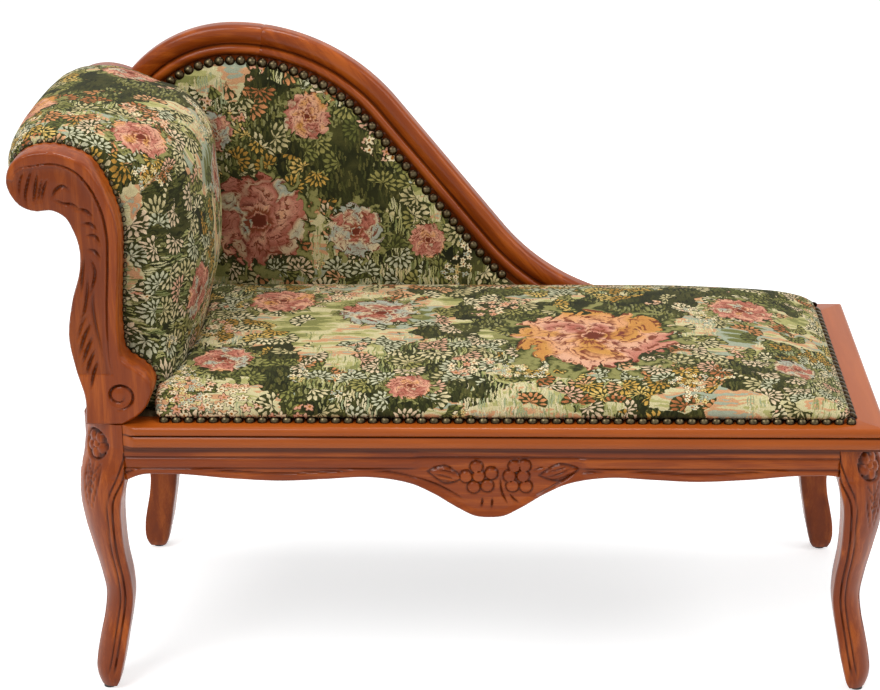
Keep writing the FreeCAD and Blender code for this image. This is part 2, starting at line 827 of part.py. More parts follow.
def front_post():
    solid = post_blank(post_outline_shares, -frame_y, post_thickness)
    field_points = [head_place(*pair) for pair in field_edge_shares]
    outer_x = scroll_tip_x - overrun
    field_front = -frame_y - overrun
    edges = smooth_edges([point(x, field_front, z) for x, z in field_points])
    first = point(field_points[0][0], field_front, field_points[0][1])
    last = point(field_points[-1][0], field_front, field_points[-1][1])
    edges.append(line(last, point(outer_x, field_front, last.z)))
    edges.append(line(point(outer_x, field_front, last.z), point(outer_x, field_front, first.z)))
    edges.append(line(point(outer_x, field_front, first.z), first))
    field = Part.Face(Part.Wire(edges)).extrude(point(0, overrun + carved_field_depth, 0))
    eye_x, eye_z = head_place(*volute_centre_shares)
    eye = point(eye_x, field_front, eye_z)
    along = point(0, 1, 0)
    depth = overrun + carved_field_depth
    ring = Part.makeCylinder(volute_radius + volute_groove, depth, eye, along)
    ring = ring.cut(Part.makeCylinder(volute_radius, depth, eye, along))
    return solid.cut(field).cut(ring)


def rear_post():
    return post_blank(rear_outline_shares(), post_inner_y, post_thickness)


def post_dowels(growth):
    # Two dowels stand in each stump and reach into the foot of its post
    dowels = []
    y_middle = frame_y - leg_width / 2 - post_dowel_setback_share * post_thickness
    base = seat_frame_height - post_dowel_length / 2 - growth
    for sign in (-1, 1):
        for offset in (-1, 1):
            x = (left_leg_x + stump_inner_x) / 2 + offset * post_dowel_spacing / 2 - post_dowel_radius
            dowels.append(Part.makeCylinder(post_dowel_radius + growth, post_dowel_length + 2 * growth,
                                            point(x, sign * y_middle, base)))
    return Part.makeCompound(dowels)


def head_rail(bottom, height):
    rail = box(head_rail_x, head_rail_inner_x, -post_inner_y, post_inner_y, bottom, bottom + height)
    return joined([rail, head_tongue(bottom, height, 0)])


def head_tongue(bottom, height, growth):
    # Tenons at both ends of a rail between the posts, as one bar through it
    half = post_inner_y + rail_tenon_length + growth
    inset = rail_tenon_shoulder - growth
    x0 = head_rail_x + inset
    x1 = head_rail_inner_x - inset
    return box(x0, x1, -half, half, bottom + inset, bottom + height - inset)


def head_rail_slots():
    growth = joint_clearance / 2
    lower = head_tongue(lower_rail_bottom, head_rail_height, growth)
    neck = head_tongue(neck_rail_bottom, neck_rail_height, growth)
    return [lower, neck, roll_tongue(growth)]


def roll_rail_edges(y, growth):
    # Rounded bar inside the scroll, from the underside of the tip over the top to the inner edge
    centre_x, centre_z = head_place(*roll_rail_centre_shares)
    places = []
    for pair in roll_rail_shares:
        x, z = head_place(*pair)
        reach = math.hypot(x - centre_x, z - centre_z)
        grow = 1 + growth / reach
        places.append(point(centre_x + (x - centre_x) * grow, y, centre_z + (z - centre_z) * grow))
    edges = [arc(places[0], places[1], places[2]), arc(places[2], places[3], places[4])]
    edges += [arc(places[4], places[5], places[6]), line(places[6], places[7])]
    return edges, places


def roll_tongue(growth):
    x0, z0 = head_place(*roll_tongue_shares[0])
    x1, z1 = head_place(*roll_tongue_shares[1])
    half = post_inner_y + rail_tenon_length + growth
    return box(x0 - growth, x1 + growth, -half, half, z0 - growth, z1 + growth)


def roll_rail():
    edges = roll_rail_edges(-post_inner_y, 0)[0]
    bar = polygon_face(facet_points(edges)).extrude(point(0, 2 * post_inner_y, 0))
    return joined([bar, roll_tongue(0)])


# Head cushion

def head_outer_places(y, fullness, inset):
    places = []
    for reach_share, height_share, direction, swell_share in head_pad_shares:
        x, z = head_place(reach_share, height_share)
        out_x, out_z = direction_from_up(direction)
        out = swell_share * head_swell * fullness - inset
        places.append(point(x + out * out_x, y, z + out * out_z))
    return places


def head_foam_section(y, fullness):
    outer = head_outer_places(y, fullness, cover_thickness + foam_clearance)
    roll_edges, roll = roll_rail_edges(y, roll_foam_gap)
    back_top = point(pad_back_x, y, roll[-1].z)
    back_bottom = point(pad_back_x, y, outer[-1].z)
    front = facet_points(arcs_through(outer))
    round_roll = facet_points(roll_edges)
    return front + [back_bottom, back_top] + round_roll[::-1]


def head_cover_section(y, fullness):
    outer = head_outer_places(y, fullness, 0)
    inner = head_outer_places(y, fullness, cover_thickness)
    outside = facet_points(arcs_through(outer))
    inside = facet_points(arcs_through(inner))
    return outside + inside[::-1]


def head_loft(section, growth):
    # Sections across the head, the two end ones moved in or out by a growth
    rings = []
    for place, fullness in head_station_shares:
        y = place * pad_half_depth
        if abs(place) == 1:
            y += place * growth
        rings.append(section(y, fullness))
    return facet_loft(rings)


def head_straps():
    z1 = neck_rail_bottom + neck_rail_height
    straps = []
    for index in range(head_strap_count):
        middle = 2 * post_inner_y * ((index + 0.5) / head_strap_count - 0.5)
        y0 = middle - webbing_width / 2
        x1 = head_rail_inner_x + webbing_thickness
        straps.append(box(head_rail_inner_x, x1, y0, y0 + webbing_width, lower_rail_bottom, z1))
    return Part.makeCompound(straps)


def head_hessian():
    x0 = head_rail_inner_x + webbing_thickness
    z1 = neck_rail_bottom + neck_rail_height
    return box(x0, x0 + hessian_thickness, -pad_half_depth, pad_half_depth, lower_rail_bottom, z1)


def head_outside_cover():
    # Cloth on a board behind the head, just inside the outer edges of the posts
    outer_edge = post_outline_shares[:outside_cover_place_count]
    shares = [pair for pair in outer_edge if pair[1] < outside_cover_top_share]
    near = [head_place(*pair) for pair in shares]
    y = -pad_half_depth
    first = [point(x + outside_cover_inset, y, z) for x, z in near]
    second = [p + point(outside_cover_thickness, 0, 0) for p in first]
    edges = smooth_edges(first) + [line(first[-1], second[-1])]
    edges += smooth_edges(second[::-1]) + [line(second[0], first[0])]
    return Part.Face(Part.Wire(edges)).extrude(point(0, 2 * pad_half_depth, 0))


# Crest rail

def crest_section(origin_x, origin_z, angle):
    # Moulded section at a point of the outer edge: inset from that edge and depth from the front face
    out_x, out_z = direction_from_up(angle)

    def at(inset, depth):
        return point(origin_x - inset * out_x, crest_front_y + depth, origin_z - inset * out_z)

    band_end = at(crest_band_width, crest_band_fall)
    band = arc(at(0, crest_edge_round), at(crest_band_mid, 0), band_end).discretize(crest_arc_steps + 1)
    groove_end = crest_band_width + crest_groove_width
    groove = [at(crest_band_width, crest_groove_depth), at(groove_end, crest_groove_depth)]
    bead_top = at(crest_bead_mid, crest_bead_rise)
    bead_end = at(crest_bead_width, crest_bead_fall)
    bead = arc(at(groove_end, crest_band_fall), bead_top, bead_end).discretize(arc_steps + 1)
    rebate = [at(crest_face_width, crest_rebate_depth), at(crest_width, crest_rebate_depth)]
    back = [at(crest_width, crest_thickness), at(0, crest_thickness)]
    return polygon_face(band + groove + bead + rebate + back)


def crest_arc(centre, radius, start_angle, end_angle, side):
    # side is 1 where the rail bends over its centre and -1 where the centre is outside
    out_x, out_z = direction_from_up(start_angle)
    section = crest_section(centre[0] + side * radius * out_x, centre[1] + side * radius * out_z, start_angle)
    return section.revolve(point(centre[0], 0, centre[1]), point(0, 1, 0), end_angle - start_angle)


def crest_crown():
    # The crown is coped to the rear post and ends in it, behind the neck too
    behind_neck = rear_post()
    behind_neck.translate(point(-crown_end_trim, 0, 0))
    head_side = crest_arc(crown_head_centre, crown_head_radius, -crown_head_angle, 0, 1)
    foot_side = crest_arc(crown_foot_centre, crown_foot_radius, 0, crest_joint_angle, 1)
    crown = head_side.fuse(foot_side).cut(rear_post().fuse(behind_neck))
    return crown.cut(crest_spline(joint_clearance / 2))


def crest_sweep():
    over = crest_arc(crown_foot_centre, crown_foot_radius, crest_joint_angle, crest_fall_angle, 1)
    run = crest_fall_length * math.cos(fall_radians)
    fall_run = point(run, 0, -crest_fall_length * math.sin(fall_radians))
    fall = crest_section(fall_start[0], fall_start[1], crest_fall_angle).extrude(fall_run)
    foot = crest_arc(foot_centre, crest_foot_radius, crest_fall_angle, crest_foot_angle, -1)
    rail = over.fuse(fall).fuse(foot)
    below = box(-overall_length, overall_length, 0, side_y, 0, seat_frame_height)
    return rail.cut(below).cut(crest_spline(joint_clearance / 2)).cut(crest_dowels(joint_clearance / 2))


def crest_spline(growth):
    # Loose tongue across the joint of the two rails
    out_x, out_z = direction_from_up(crest_joint_angle)
    radius = crown_foot_radius - crest_width / 2
    middle_x = crown_foot_centre[0] + radius * out_x
    middle_z = crown_foot_centre[1] + radius * out_z
    half_long = spline_length / 2 + growth
    half_wide = spline_width / 2 + growth
    y0 = frame_y - crest_thickness / 2 - growth
    tongue = box(middle_x - half_long, middle_x + half_long, y0, y0 + spline_thickness + 2 * growth,
                 middle_z - half_wide, middle_z + half_wide)
    tongue.rotate(point(middle_x, y0, middle_z), point(0, 1, 0), crest_joint_angle)
    return tongue


def crest_dowels(growth):
    # Two dowels stand in the rear rim under the foot of the crest rail
    dowels = []
    y_middle = frame_y - crest_thickness / 2
    for index in range(crest_dowel_count):
        x = crest_toe_x - crest_dowel_setback - index * crest_dowel_spacing
        base = seat_frame_height - crest_dowel_length / 2 - growth
        height = crest_dowel_length + 2 * growth
        dowels.append(Part.makeCylinder(crest_dowel_radius + growth, height, point(x, y_middle, base)))
    return Part.makeCompound(dowels)


# Back panel

def panel_foot_x(inset):
    # Where the crest's inner line, at an inset from its outer edge, comes down to the panel's lower edge
    radius = crest_foot_radius + inset
    fall = foot_centre[1] - (seat_frame_height + back_panel_lift)
    return foot_centre[0] - math.sqrt(radius ** 2 - fall ** 2)


def panel_wire(y, inset, left, bottom):
    # Outline of a back layer that follows the crest at an inset and ends at a left and a bottom line
    def on_arc(centre, radius, angle):
        out_x, out_z = direction_from_up(angle)
        return point(centre[0] + radius * out_x, y, centre[1] + radius * out_z)

    head_radius = crown_head_radius - inset
    over_radius = crown_foot_radius - inset
    foot_radius = -(crest_foot_radius + inset)
    left_angle = math.degrees(math.asin((left - crown_head_centre[0]) / head_radius))
    foot_end = math.degrees(math.acos((foot_centre[1] - bottom) / -foot_radius))
    top_left = on_arc(crown_head_centre, head_radius, left_angle)
    apex = on_arc(crown_head_centre, head_radius, 0)
    over_end = on_arc(crown_foot_centre, over_radius, crest_fall_angle)
    fall_foot = on_arc(foot_centre, foot_radius, crest_fall_angle)
    right = on_arc(foot_centre, foot_radius, foot_end)
    corner_point = point(left, y, bottom)
    middle_fall = (crest_fall_angle + foot_end) / 2
    edges = [line(corner_point, top_left)]
    edges.append(arc(top_left, on_arc(crown_head_centre, head_radius, left_angle / 2), apex))
    edges.append(arc(apex, on_arc(crown_foot_centre, over_radius, crest_fall_angle / 2), over_end))
    edges.append(line(over_end, fall_foot))
    edges.append(arc(fall_foot, on_arc(foot_centre, foot_radius, middle_fall), right))
    edges.append(line(right, corner_point))
    return Part.Wire(edges)


def panel_sheet(y0, y1, inset, left, bottom):
    return Part.Face(panel_wire(y0, inset, left, bottom)).extrude(point(0, y1 - y0, 0))


def back_form(inset):
    # Crowned pad: its edge stands on the rebate and draws in to a flat front
    edge_inset = crest_face_width + back_cover_overlap + inset
    rise = rebate_y - crest_front_y + back_crown - inset
    wires = []
    for rise_share, draw_share in back_section_shares:
        draw = draw_share * back_crown_draw
        left = back_panel_left + inset + draw
        bottom = seat_frame_height + back_panel_lift + inset + draw
        wires.append(panel_wire(rebate_y - rise_share * rise, edge_inset + draw, left, bottom))
    return Part.makeLoft(wires, True, True)


def back_layers():
    layer_gap = cover_thickness + foam_clearance + back_layer_margin
    inset = crest_face_width + back_cover_overlap + layer_gap
    left = back_panel_left + layer_gap
    bottom = seat_frame_height + back_panel_lift + layer_gap
    strap_front = rebate_y - webbing_thickness
    sheet = panel_sheet(strap_front, rebate_y, inset, left, bottom)
    right = panel_foot_x(inset)
    straps = []
    for index in range(back_strap_count):
        middle = left + (right - left) * (index + 0.5) / back_strap_count
        x0 = middle - webbing_width / 2
        strip = box(x0, x0 + webbing_width, strap_front, rebate_y, 0, overall_height)
        straps.append(strip.common(sheet))
    hessian = panel_sheet(strap_front - hessian_thickness, strap_front, inset, left, bottom)
    cover = back_form(0).cut(back_form(cover_thickness))
    in_front = box(-overall_length, overall_length, 0, strap_front - hessian_thickness, 0, overall_height)
    foam = back_form(cover_thickness + foam_clearance).common(in_front)
    return Part.makeCompound(straps), hessian, foam, cover


def base_rail():
    board = box(stump_inner_x, foot_centre[0], rebate_y, rebate_y + base_rail_thickness,
                seat_frame_height, seat_frame_height + base_rail_height)
    rail_back_y = rebate_y + base_rail_thickness
    band = panel_sheet(rebate_y, rail_back_y, crest_width, stump_inner_x, seat_frame_height)
    return board.common(band).cut(rear_post())


def back_outside_cover():
    inset = crest_width - back_outside_overlap
    return panel_sheet(frame_y, frame_y + back_outside_thickness, inset, stump_inner_x - back_outside_lap,
                       seat_frame_height + back_panel_lift)


def build():
    os.makedirs("parts", exist_ok=True)
    slots = mortises()
    dowel_holes = post_dowels(joint_clearance / 2)
    screw_holes = corner_screws(screw_hole_clearance)
    glides = []
    for row, side_y_sign in (("front", -1), ("rear", 1)):
        left = cut_all(leg(left_leg_x, -1, side_y_sign, True), slots + screw_holes).cut(dowel_holes)
        save(row + "_left_leg", left)
        save(row + "_right_leg", cut_all(leg(right_leg_x, 1, side_y_sign, False), slots + screw_holes))
        glides += [glide(left_leg_x, -1, side_y_sign), glide(right_leg_x, 1, side_y_sign)]
        save(row + "_left_corner_block", cut_all(corner_block(-1, side_y_sign), screw_holes))
        save(row + "_right_corner_block", cut_all(corner_block(1, side_y_sign), screw_holes))
        save(row + "_rim", side_rim(side_y_sign).cut(crest_dowels(joint_clearance / 2)))
    save("foot_rim", foot_rim())
    save("leg_glides", Part.makeCompound(glides))
    save("front_apron", front_apron())
    save("rear_apron", rear_apron())
    save("foot_apron", foot_apron())
    save("head_apron", head_apron())
    save("corner_block_screws", Part.makeCompound(corner_screws(0)))

    save("seat_long_straps", seat_long_straps())
    save("seat_cross_straps", seat_cross_straps())
    save("seat_hessian", seat_hessian())
    save("seat_foam", seat_foam())
    save("seat_cover", seat_cover())
    save("seat_dust_cover", seat_dust_cover())

    rail_slots = head_rail_slots()
    save("head_front_post", cut_all(front_post().cut(dowel_holes), rail_slots))
    save("head_rear_post", cut_all(rear_post().cut(dowel_holes), rail_slots))
    save("frame_dowels", Part.makeCompound([post_dowels(0), crest_dowels(0)]))
    save("head_lower_rail", head_rail(lower_rail_bottom, head_rail_height))
    save("head_neck_rail", head_rail(neck_rail_bottom, neck_rail_height))
    save("head_roll_rail", roll_rail())
    save("head_straps", head_straps())
    save("head_hessian", head_hessian())
    save("head_foam", head_loft(head_foam_section, -cover_thickness))
    save("head_cover", head_loft(head_cover_section, 0))
    save("head_outside_cover", head_outside_cover())

    save("crest_rail_crown", crest_crown())
    save("crest_rail_sweep", crest_sweep())
    save("crest_spline", crest_spline(0))
    save("back_base_rail", base_rail())
    straps, hessian, foam, cover = back_layers()
    save("back_straps", straps)
    save("back_hessian", hessian)
    save("back_foam", foam)
    save("back_cover", cover)
    save("back_outside_cover", back_outside_cover())


build()
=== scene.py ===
import math

import bmesh
import bpy
import numpy as np
from bpy.props import FloatProperty, FloatVectorProperty, PointerProperty
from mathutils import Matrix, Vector, geometry


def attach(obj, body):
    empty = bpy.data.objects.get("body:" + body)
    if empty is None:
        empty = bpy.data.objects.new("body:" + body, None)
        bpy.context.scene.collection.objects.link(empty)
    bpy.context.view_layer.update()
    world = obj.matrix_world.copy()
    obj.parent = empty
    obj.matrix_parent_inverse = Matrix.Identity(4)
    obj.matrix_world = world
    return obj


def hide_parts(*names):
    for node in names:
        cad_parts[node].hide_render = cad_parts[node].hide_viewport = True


bl_info = {
    "name": "Chaise longue dressing",
    "version": (1, 0, 0),
    "blender": (4, 5, 0),
    "location": "View3D > Sidebar > Chaise",
    "description": "Builds the carved wood, tapestry cushions, nails and studio of a chaise longue",
    "category": "Object",
}

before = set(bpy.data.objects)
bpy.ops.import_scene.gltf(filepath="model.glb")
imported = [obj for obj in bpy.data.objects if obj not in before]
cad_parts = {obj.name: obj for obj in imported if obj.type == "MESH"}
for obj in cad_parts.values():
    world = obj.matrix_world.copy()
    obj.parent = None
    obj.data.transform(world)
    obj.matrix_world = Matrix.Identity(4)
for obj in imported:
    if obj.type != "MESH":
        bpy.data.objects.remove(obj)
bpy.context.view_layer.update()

MM = 0.001
FRONT = -1
REAR = 1

# Places shared by the pieces
SIDE_Y = 272.0
FRAME_Y = 262.0
RIM_TOP = 420.0
RIM_BOTTOM = 385.0
STUMP_INNER_X = -462.0
SCROLL_REACH = 138.0
POST_HEIGHT = 397.0
POST_THICKNESS = 50.0
PAD_HALF_DEPTH = 211.7
LEG_WIDTH = 63.0
LEG_Y = 230.5
LEFT_LEG_X = -493.5
RIGHT_LEG_X = 580.05
FOOT_END_X = 614.55
GLIDE_HEIGHT = 4.0


def hex_colour(text):
    """Linear colour of an sRGB hex value."""
    parts = [int(text[i:i + 2], 16) / 255 for i in (1, 3, 5)]
    return tuple(c / 12.92 if c <= 0.04045 else ((c + 0.055) / 1.055) ** 2.4 for c in parts)


# Settings a user would change

def colour_setting(name, description, default):
    return FloatVectorProperty(name=name, description=description, subtype="COLOR", size=3, min=0, max=1,
                               default=default)


def length_setting(name, description, default, low, high):
    """A length that is given in millimetres."""
    return FloatProperty(name=name, description=description, unit="LENGTH", default=default * MM,
                         min=low * MM, max=high * MM)


class ChaiseWoodSettings(bpy.types.PropertyGroup):
    """Finish of the carved frame"""
    stain: colour_setting("Stain", "Middle tone of the stained wood", hex_colour("#883B0B"))
    light: colour_setting("Light grain", "Palest streaks of the grain", hex_colour("#A85216"))
    dark: colour_setting("Dark grain", "Darkest streaks of the grain", hex_colour("#78310A"))
    # The same colour also paints the shade under the rims onto the tops of the aprons
    cut: colour_setting("Carved cuts", "Stain gathered in grooves and carving", hex_colour("#3A1204"))
    edge_round: length_setting("Edge rounding", "Softness of the sanded edges", 1.2, 0, 5)
    roughness: FloatProperty(name="Roughness", description="Roughness of the lacquered wood",
                             subtype="FACTOR", default=0.38, min=0, max=1)


class ChaiseClothSettings(bpy.types.PropertyGroup):
    """Tapestry cover"""
    ground: colour_setting("Ground", "Darkest green of the tapestry", hex_colour("#1C1E0C"))
    thread: length_setting("Thread spacing", "Distance between threads of the weave", 0.9, 0.3, 4)
    swell: length_setting("Swell", "Most that the stuffing may push the cover out", 7, 0, 30)
    voxel: length_setting("Cushion mesh", "Spacing of the cushion mesh before it swells", 6, 3, 20)


class ChaiseNailSettings(bpy.types.PropertyGroup):
    """Decorative nails"""
    metal: colour_setting("Bronze", "Colour of the nail heads", hex_colour("#6E6248"))
    diameter: length_setting("Head diameter", "Diameter of a nail head", 15.6, 4, 30)
    seat_pitch: length_setting("Seat pitch", "Distance between the nails round the seat", 17.3, 5, 60)
    crest_pitch: length_setting("Crest pitch", "Distance between the nails under the crest", 16.6, 5, 60)


class ChaiseStageSettings(bpy.types.PropertyGroup):
    """Studio"""
    floor: colour_setting("Floor", "Colour of the studio floor", (0.82, 0.82, 0.82))
    key_power: FloatProperty(name="Key light", description="Power of the large soft light", unit="POWER",
                             default=95.0, min=0, max=1000)
    fill: FloatProperty(name="Fill light", description="Strength of the even light from all round",
                        default=0.50, min=0, max=3)


# Meshes

def add_to_scene(name, data):
    holder = bpy.data.objects.new(name, data)
    bpy.context.scene.collection.objects.link(holder)
    return holder


def write_attribute(mesh, name, values):
    """Writes a number or a vector for every vertex."""
    values = np.asarray(values, np.float32)
    kind, key = ("FLOAT", "value") if values.ndim == 1 else ("FLOAT_VECTOR", "vector")
    mesh.attributes.new(name, kind, "POINT").data.foreach_set(key, values.ravel())


def turn_faces_outward(mesh):
    work = bmesh.new()
    work.from_mesh(mesh)
    bmesh.ops.recalc_face_normals(work, faces=work.faces)
    work.to_mesh(mesh)
    work.free()


def make_piece(name, points, faces, material, recess=None, sharp_angle=60, node=None):
    """Adds a mesh piece, in millimetres, that rides on the frame and may replace a node of it."""
    mesh = bpy.data.meshes.new(name)
    mesh.from_pydata((np.asarray(points, float) * MM).tolist(), [], faces)
    mesh.validate()
    piece = add_to_scene(name, mesh)
    if recess is not None:
        write_attribute(mesh, "recess", recess)
    turn_faces_outward(mesh)
    mesh.shade_smooth()
    mesh.set_sharp_from_angle(angle=math.radians(sharp_angle))
    mesh.materials.append(material)
    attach(piece, "root")
    if node is not None:
        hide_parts(node)
    return piece


def wood_piece(name, node, rings, recess, material, sharp_angle):
    """A moulded or carved bar: a closed tube through rings of as many points each."""
    rings = np.asarray(rings, float)
    count, around = rings.shape[:2]
    faces = []
    for ring in range(count - 1):
        low, high = ring * around, (ring + 1) * around
        for i in range(around):
            j = (i + 1) % around
            faces.append((low + i, low + j, high + j, high + i))
    faces.append(tuple(range(around))[::-1])
    faces.append(tuple(range((count - 1) * around, count * around)))
    make_piece(name, rings.reshape(-1, 3), faces, material, recess, sharp_angle, node)


def ease(value, low, high):
    """Smooth step from 0 at low to 1 at high."""
    t = np.clip((value - low) / (high - low), 0, 1)
    return t * t * (3 - 2 * t)


def smooth_table(places, values, at):
    """Smooth curve through a table, read at other places."""
    places, values, at = (np.asarray(a, float) for a in (places, values, at))
    slopes = np.gradient(values, places)
    index = np.clip(np.searchsorted(places, at) - 1, 0, len(places) - 2)
    span = places[index + 1] - places[index]
    t = (at - places[index]) / span
    a = values[index] * (1 + 2 * t) * (1 - t) ** 2 + slopes[index] * span * t * (1 - t) ** 2
    b = values[index + 1] * t * t * (3 - 2 * t) + slopes[index + 1] * span * t * t * (t - 1)
    return a + b


def run_lengths(points):
    """Length along a line up to each of its points."""
    return np.concatenate([[0], np.cumsum(np.linalg.norm(np.diff(points, axis=0), axis=1))])


def smooth_path(points, spacing):
    """Evenly spaced points on a smooth curve through a list of places."""
    points = np.asarray(points, float)
    run = run_lengths(points)
    fine = np.linspace(0, run[-1], len(points) * 24)
    curve = np.stack([smooth_table(run, points[:, k], fine) for k in range(points.shape[1])], axis=1)
    return even_path(curve, spacing)


def even_path(curve, spacing):
    """The same line with evenly spaced points."""
    run = run_lengths(curve)
    steps = max(2, int(round(run[-1] / spacing)))
    at = np.linspace(0, run[-1], steps + 1)
    return np.stack([np.interp(at, run, curve[:, k]) for k in range(curve.shape[1])], axis=1)


def distance_to_path(x, z, path):
    """Distance of places to a line, and how far along the line each is nearest, as a share."""
    best = np.full(x.shape, 1e9)
    along = np.zeros(x.shape)
    count = len(path) - 1
    for i, (start, end) in enumerate(zip(path[:-1], path[1:])):
        run = end - start
        length = max(float(run @ run), 1e-9)
        t = np.clip(((x - start[0]) * run[0] + (z - start[1]) * run[1]) / length, 0, 1)
        gap = np.hypot(x - start[0] - t * run[0], z - start[1] - t * run[1])
        nearer = gap < best
        best[nearer] = gap[nearer]
        along[nearer] = (i + t[nearer]) / count
    return best, along


# Places further than this from the box round a stroke lie outside its cut
STROKE_MARGIN = 9.0


def stroke_cuts(x, z, strokes):
    """Depth of gouge cuts. Each stroke is its points, half width and depth, and tapers at both ends."""
    depth = np.zeros(x.shape)
    for points, half_width, cut in strokes:
        reach = np.asarray(points, float)
        path = smooth_path(reach, 2.5) if len(points) > 2 else reach
        low, high = reach.min(axis=0) - STROKE_MARGIN, reach.max(axis=0) + STROKE_MARGIN
        near = (x > low[0]) & (x < high[0]) & (z > low[1]) & (z < high[1])
        if not near.any():
            continue
        gap, along = distance_to_path(x[near], z[near], path)
        taper = np.sqrt(np.clip(np.sin(np.pi * np.clip(along, 0.02, 0.98)), 0, 1))
        width = half_width * (0.35 + 0.65 * taper)
        shape = np.clip(1 - (gap / width) ** 2, 0, 1) ** 1.5
        depth[near] = np.maximum(depth[near], cut * taper * shape)
    return depth


def flower_relief(x, z, centre, radius, petals, turn=0.0):
    """Height of a carved flower with rounded petals round a button, from 0 to 1."""
    dx, dz = x - centre[0], z - centre[1]
    r = np.hypot(dx, dz) / radius
    angle = np.arctan2(dz, dx) + turn
    lobe = np.abs(np.cos(petals * angle / 2))
    edge = 0.62 + 0.38 * lobe ** 0.55
    petal = np.clip(1 - (r / edge) ** 4, 0, 1) * (0.45 + 0.55 * lobe ** 0.5)
    petal *= 0.55 + 0.45 * np.clip(r / 0.55, 0, 1)
    button = 0.95 * np.clip(1 - (r / 0.30) ** 2, 0, 1) ** 0.6
    moat = ease(r, 0.26, 0.36)
    return np.maximum(petal * moat, button)


def inside_outline(x, z, outline):
    """True for places inside a closed outline."""
    inside = np.zeros(x.shape, bool)
    for (x0, z0), (x1, z1) in zip(outline, np.roll(outline, -1, axis=0)):
        crosses = (z0 > z) != (z1 > z)
        with np.errstate(divide="ignore", invalid="ignore"):
            at = (x1 - x0) * (z - z0) / (z1 - z0) + x0
        inside ^= crosses & (x < at)
    return inside


def gap_to_outline(places, outline):
    """Distance of places from a closed outline."""
    return distance_to_path(places[:, 0], places[:, 1], np.concatenate([outline, outline[:1]]))[0]


def filled_outline(outline, spacing):
    """Places and triangles that fill an outline: its own points first, then a staggered grid inside."""
    low, high = outline.min(axis=0), outline.max(axis=0)
    rows = np.arange(low[1] + spacing / 2, high[1], spacing * 0.87)
    grid = []
    for index, z in enumerate(rows):
        xs = np.arange(low[0] + spacing / 2 * (index % 2), high[0], spacing)
        grid.append(np.stack([xs, np.full(len(xs), z)], axis=1))
    grid = np.concatenate(grid)
    grid = grid[inside_outline(grid[:, 0], grid[:, 1], outline)]
    grid = grid[gap_to_outline(grid, outline) > spacing * 0.6]
    vectors = [Vector(p) for p in np.concatenate([outline, grid]).tolist()]
    border = list(range(len(outline)))
    edges = list(zip(border, border[1:] + border[:1]))
    found = geometry.delaunay_2d_cdt(vectors, edges, [border], 1, 1e-5)
    return np.array([tuple(v) for v in found[0]], float), [tuple(f) for f in found[2]]


def upright(places, y):
    """Points in an upright plane along X, from their X and Z."""
    return np.stack([places[:, 0], y, places[:, 1]], axis=1)


def board_piece(name, node, outline, spacing, thickness, depth, place, material, edge_round):
    """A sawn and carved board: outline in its own plane, carved front, plain back and edge.

    depth gives the cut below the front face; place turns board places and depths into points.
    """
    places, faces = filled_outline(outline, spacing)
    inset = np.clip(edge_round - gap_to_outline(places, outline), 0, edge_round)
    rounding = edge_round - np.sqrt(np.clip(edge_round ** 2 - inset ** 2, 0, None))
    cut, recess = depth(places[:, 0], places[:, 1])
    count, rim = len(places), len(outline)
    points = [place(places, np.maximum(cut, rounding)), place(outline, np.full(rim, thickness))]
    for i in range(rim):
        j = (i + 1) % rim
        faces.append((i, count + i, count + j, j))
    faces.append(tuple(range(count, count + rim)))
    recess = np.concatenate([recess, np.zeros(rim)])
    make_piece(name, np.concatenate(points), faces, material, recess, 50, node)


# Materials

def add_node(tree, kind, settings=None, inputs=None):
    """Adds a node, sets it, and links or fills its inputs.

    A node given as input stands for its first output, and a hex text for its colour.
    """
    node = tree.nodes.new(kind)
    for key, value in (settings or {}).items():
        setattr(node, key, value)
    for key, value in (inputs or {}).items():
        if isinstance(value, bpy.types.Node):
            value = value.outputs[0]
        if isinstance(value, str):
            value = (*hex_colour(value), 1)
        if isinstance(value, bpy.types.NodeSocket):
            tree.links.new(value, node.inputs[key])
        else:
            node.inputs[key].default_value = value
    return node


def math_node(tree, operation, a, b=0.0, c=0.0):
    return add_node(tree, "ShaderNodeMath", {"operation": operation}, {0: a, 1: b, 2: c})


def noise(tree, vector, scale=1.0, detail=2.0, distortion=0.0):
    return add_node(tree, "ShaderNodeTexNoise", inputs={"Vector": vector, "Scale": scale, "Detail": detail,
                                                        "Distortion": distortion})


def ramp(tree, factor, stops, interpolation="LINEAR"):
    """Colours along a factor: each stop is its place and its colour, linear or as a hex text."""
    node = add_node(tree, "ShaderNodeValToRGB", inputs={0: factor})
    node.color_ramp.interpolation = interpolation
    elements = node.color_ramp.elements
    while len(elements) < len(stops):
        elements.new(0.5)
    for element, (position, colour) in zip(elements, stops):
        element.position = position
        element.color = (*(hex_colour(colour) if isinstance(colour, str) else colour), 1)
    return node


def layer_over(tree, mask, below, above):
    """Mixes a layer's colour over the colours below where its mask is one."""
    return add_node(tree, "ShaderNodeMix", {"data_type": "RGBA"}, {0: mask, 6: below, 7: above}).outputs[2]


def dimmed(tree, colour, factor, low, high, dark, light):
    """A colour times a strength that goes from dark to light as a factor goes from low to high."""
    strength = add_node(tree, "ShaderNodeMapRange", inputs={0: factor, 1: low, 2: high, 3: dark, 4: light})
    return add_node(tree, "ShaderNodeVectorMath", {"operation": "SCALE"}, {0: colour, "Scale": strength})


def object_place(tree):
    return add_node(tree, "ShaderNodeTexCoord").outputs["Object"]


def read_attribute(tree, name, output):
    return add_node(tree, "ShaderNodeAttribute", {"attribute_name": name}).outputs[output]


def bumped(tree, height, strength, distance, **inputs):
    return add_node(tree, "ShaderNodeBump", inputs={"Height": height, "Strength": strength,
                                                    "Distance": distance, **inputs})


def new_material(name):
    material = bpy.data.materials.get(name)
    if material:
        return material, None, None
    material = bpy.data.materials.new(name)
    material.use_nodes = True
    tree = material.node_tree
    return material, tree, tree.nodes["Principled BSDF"]


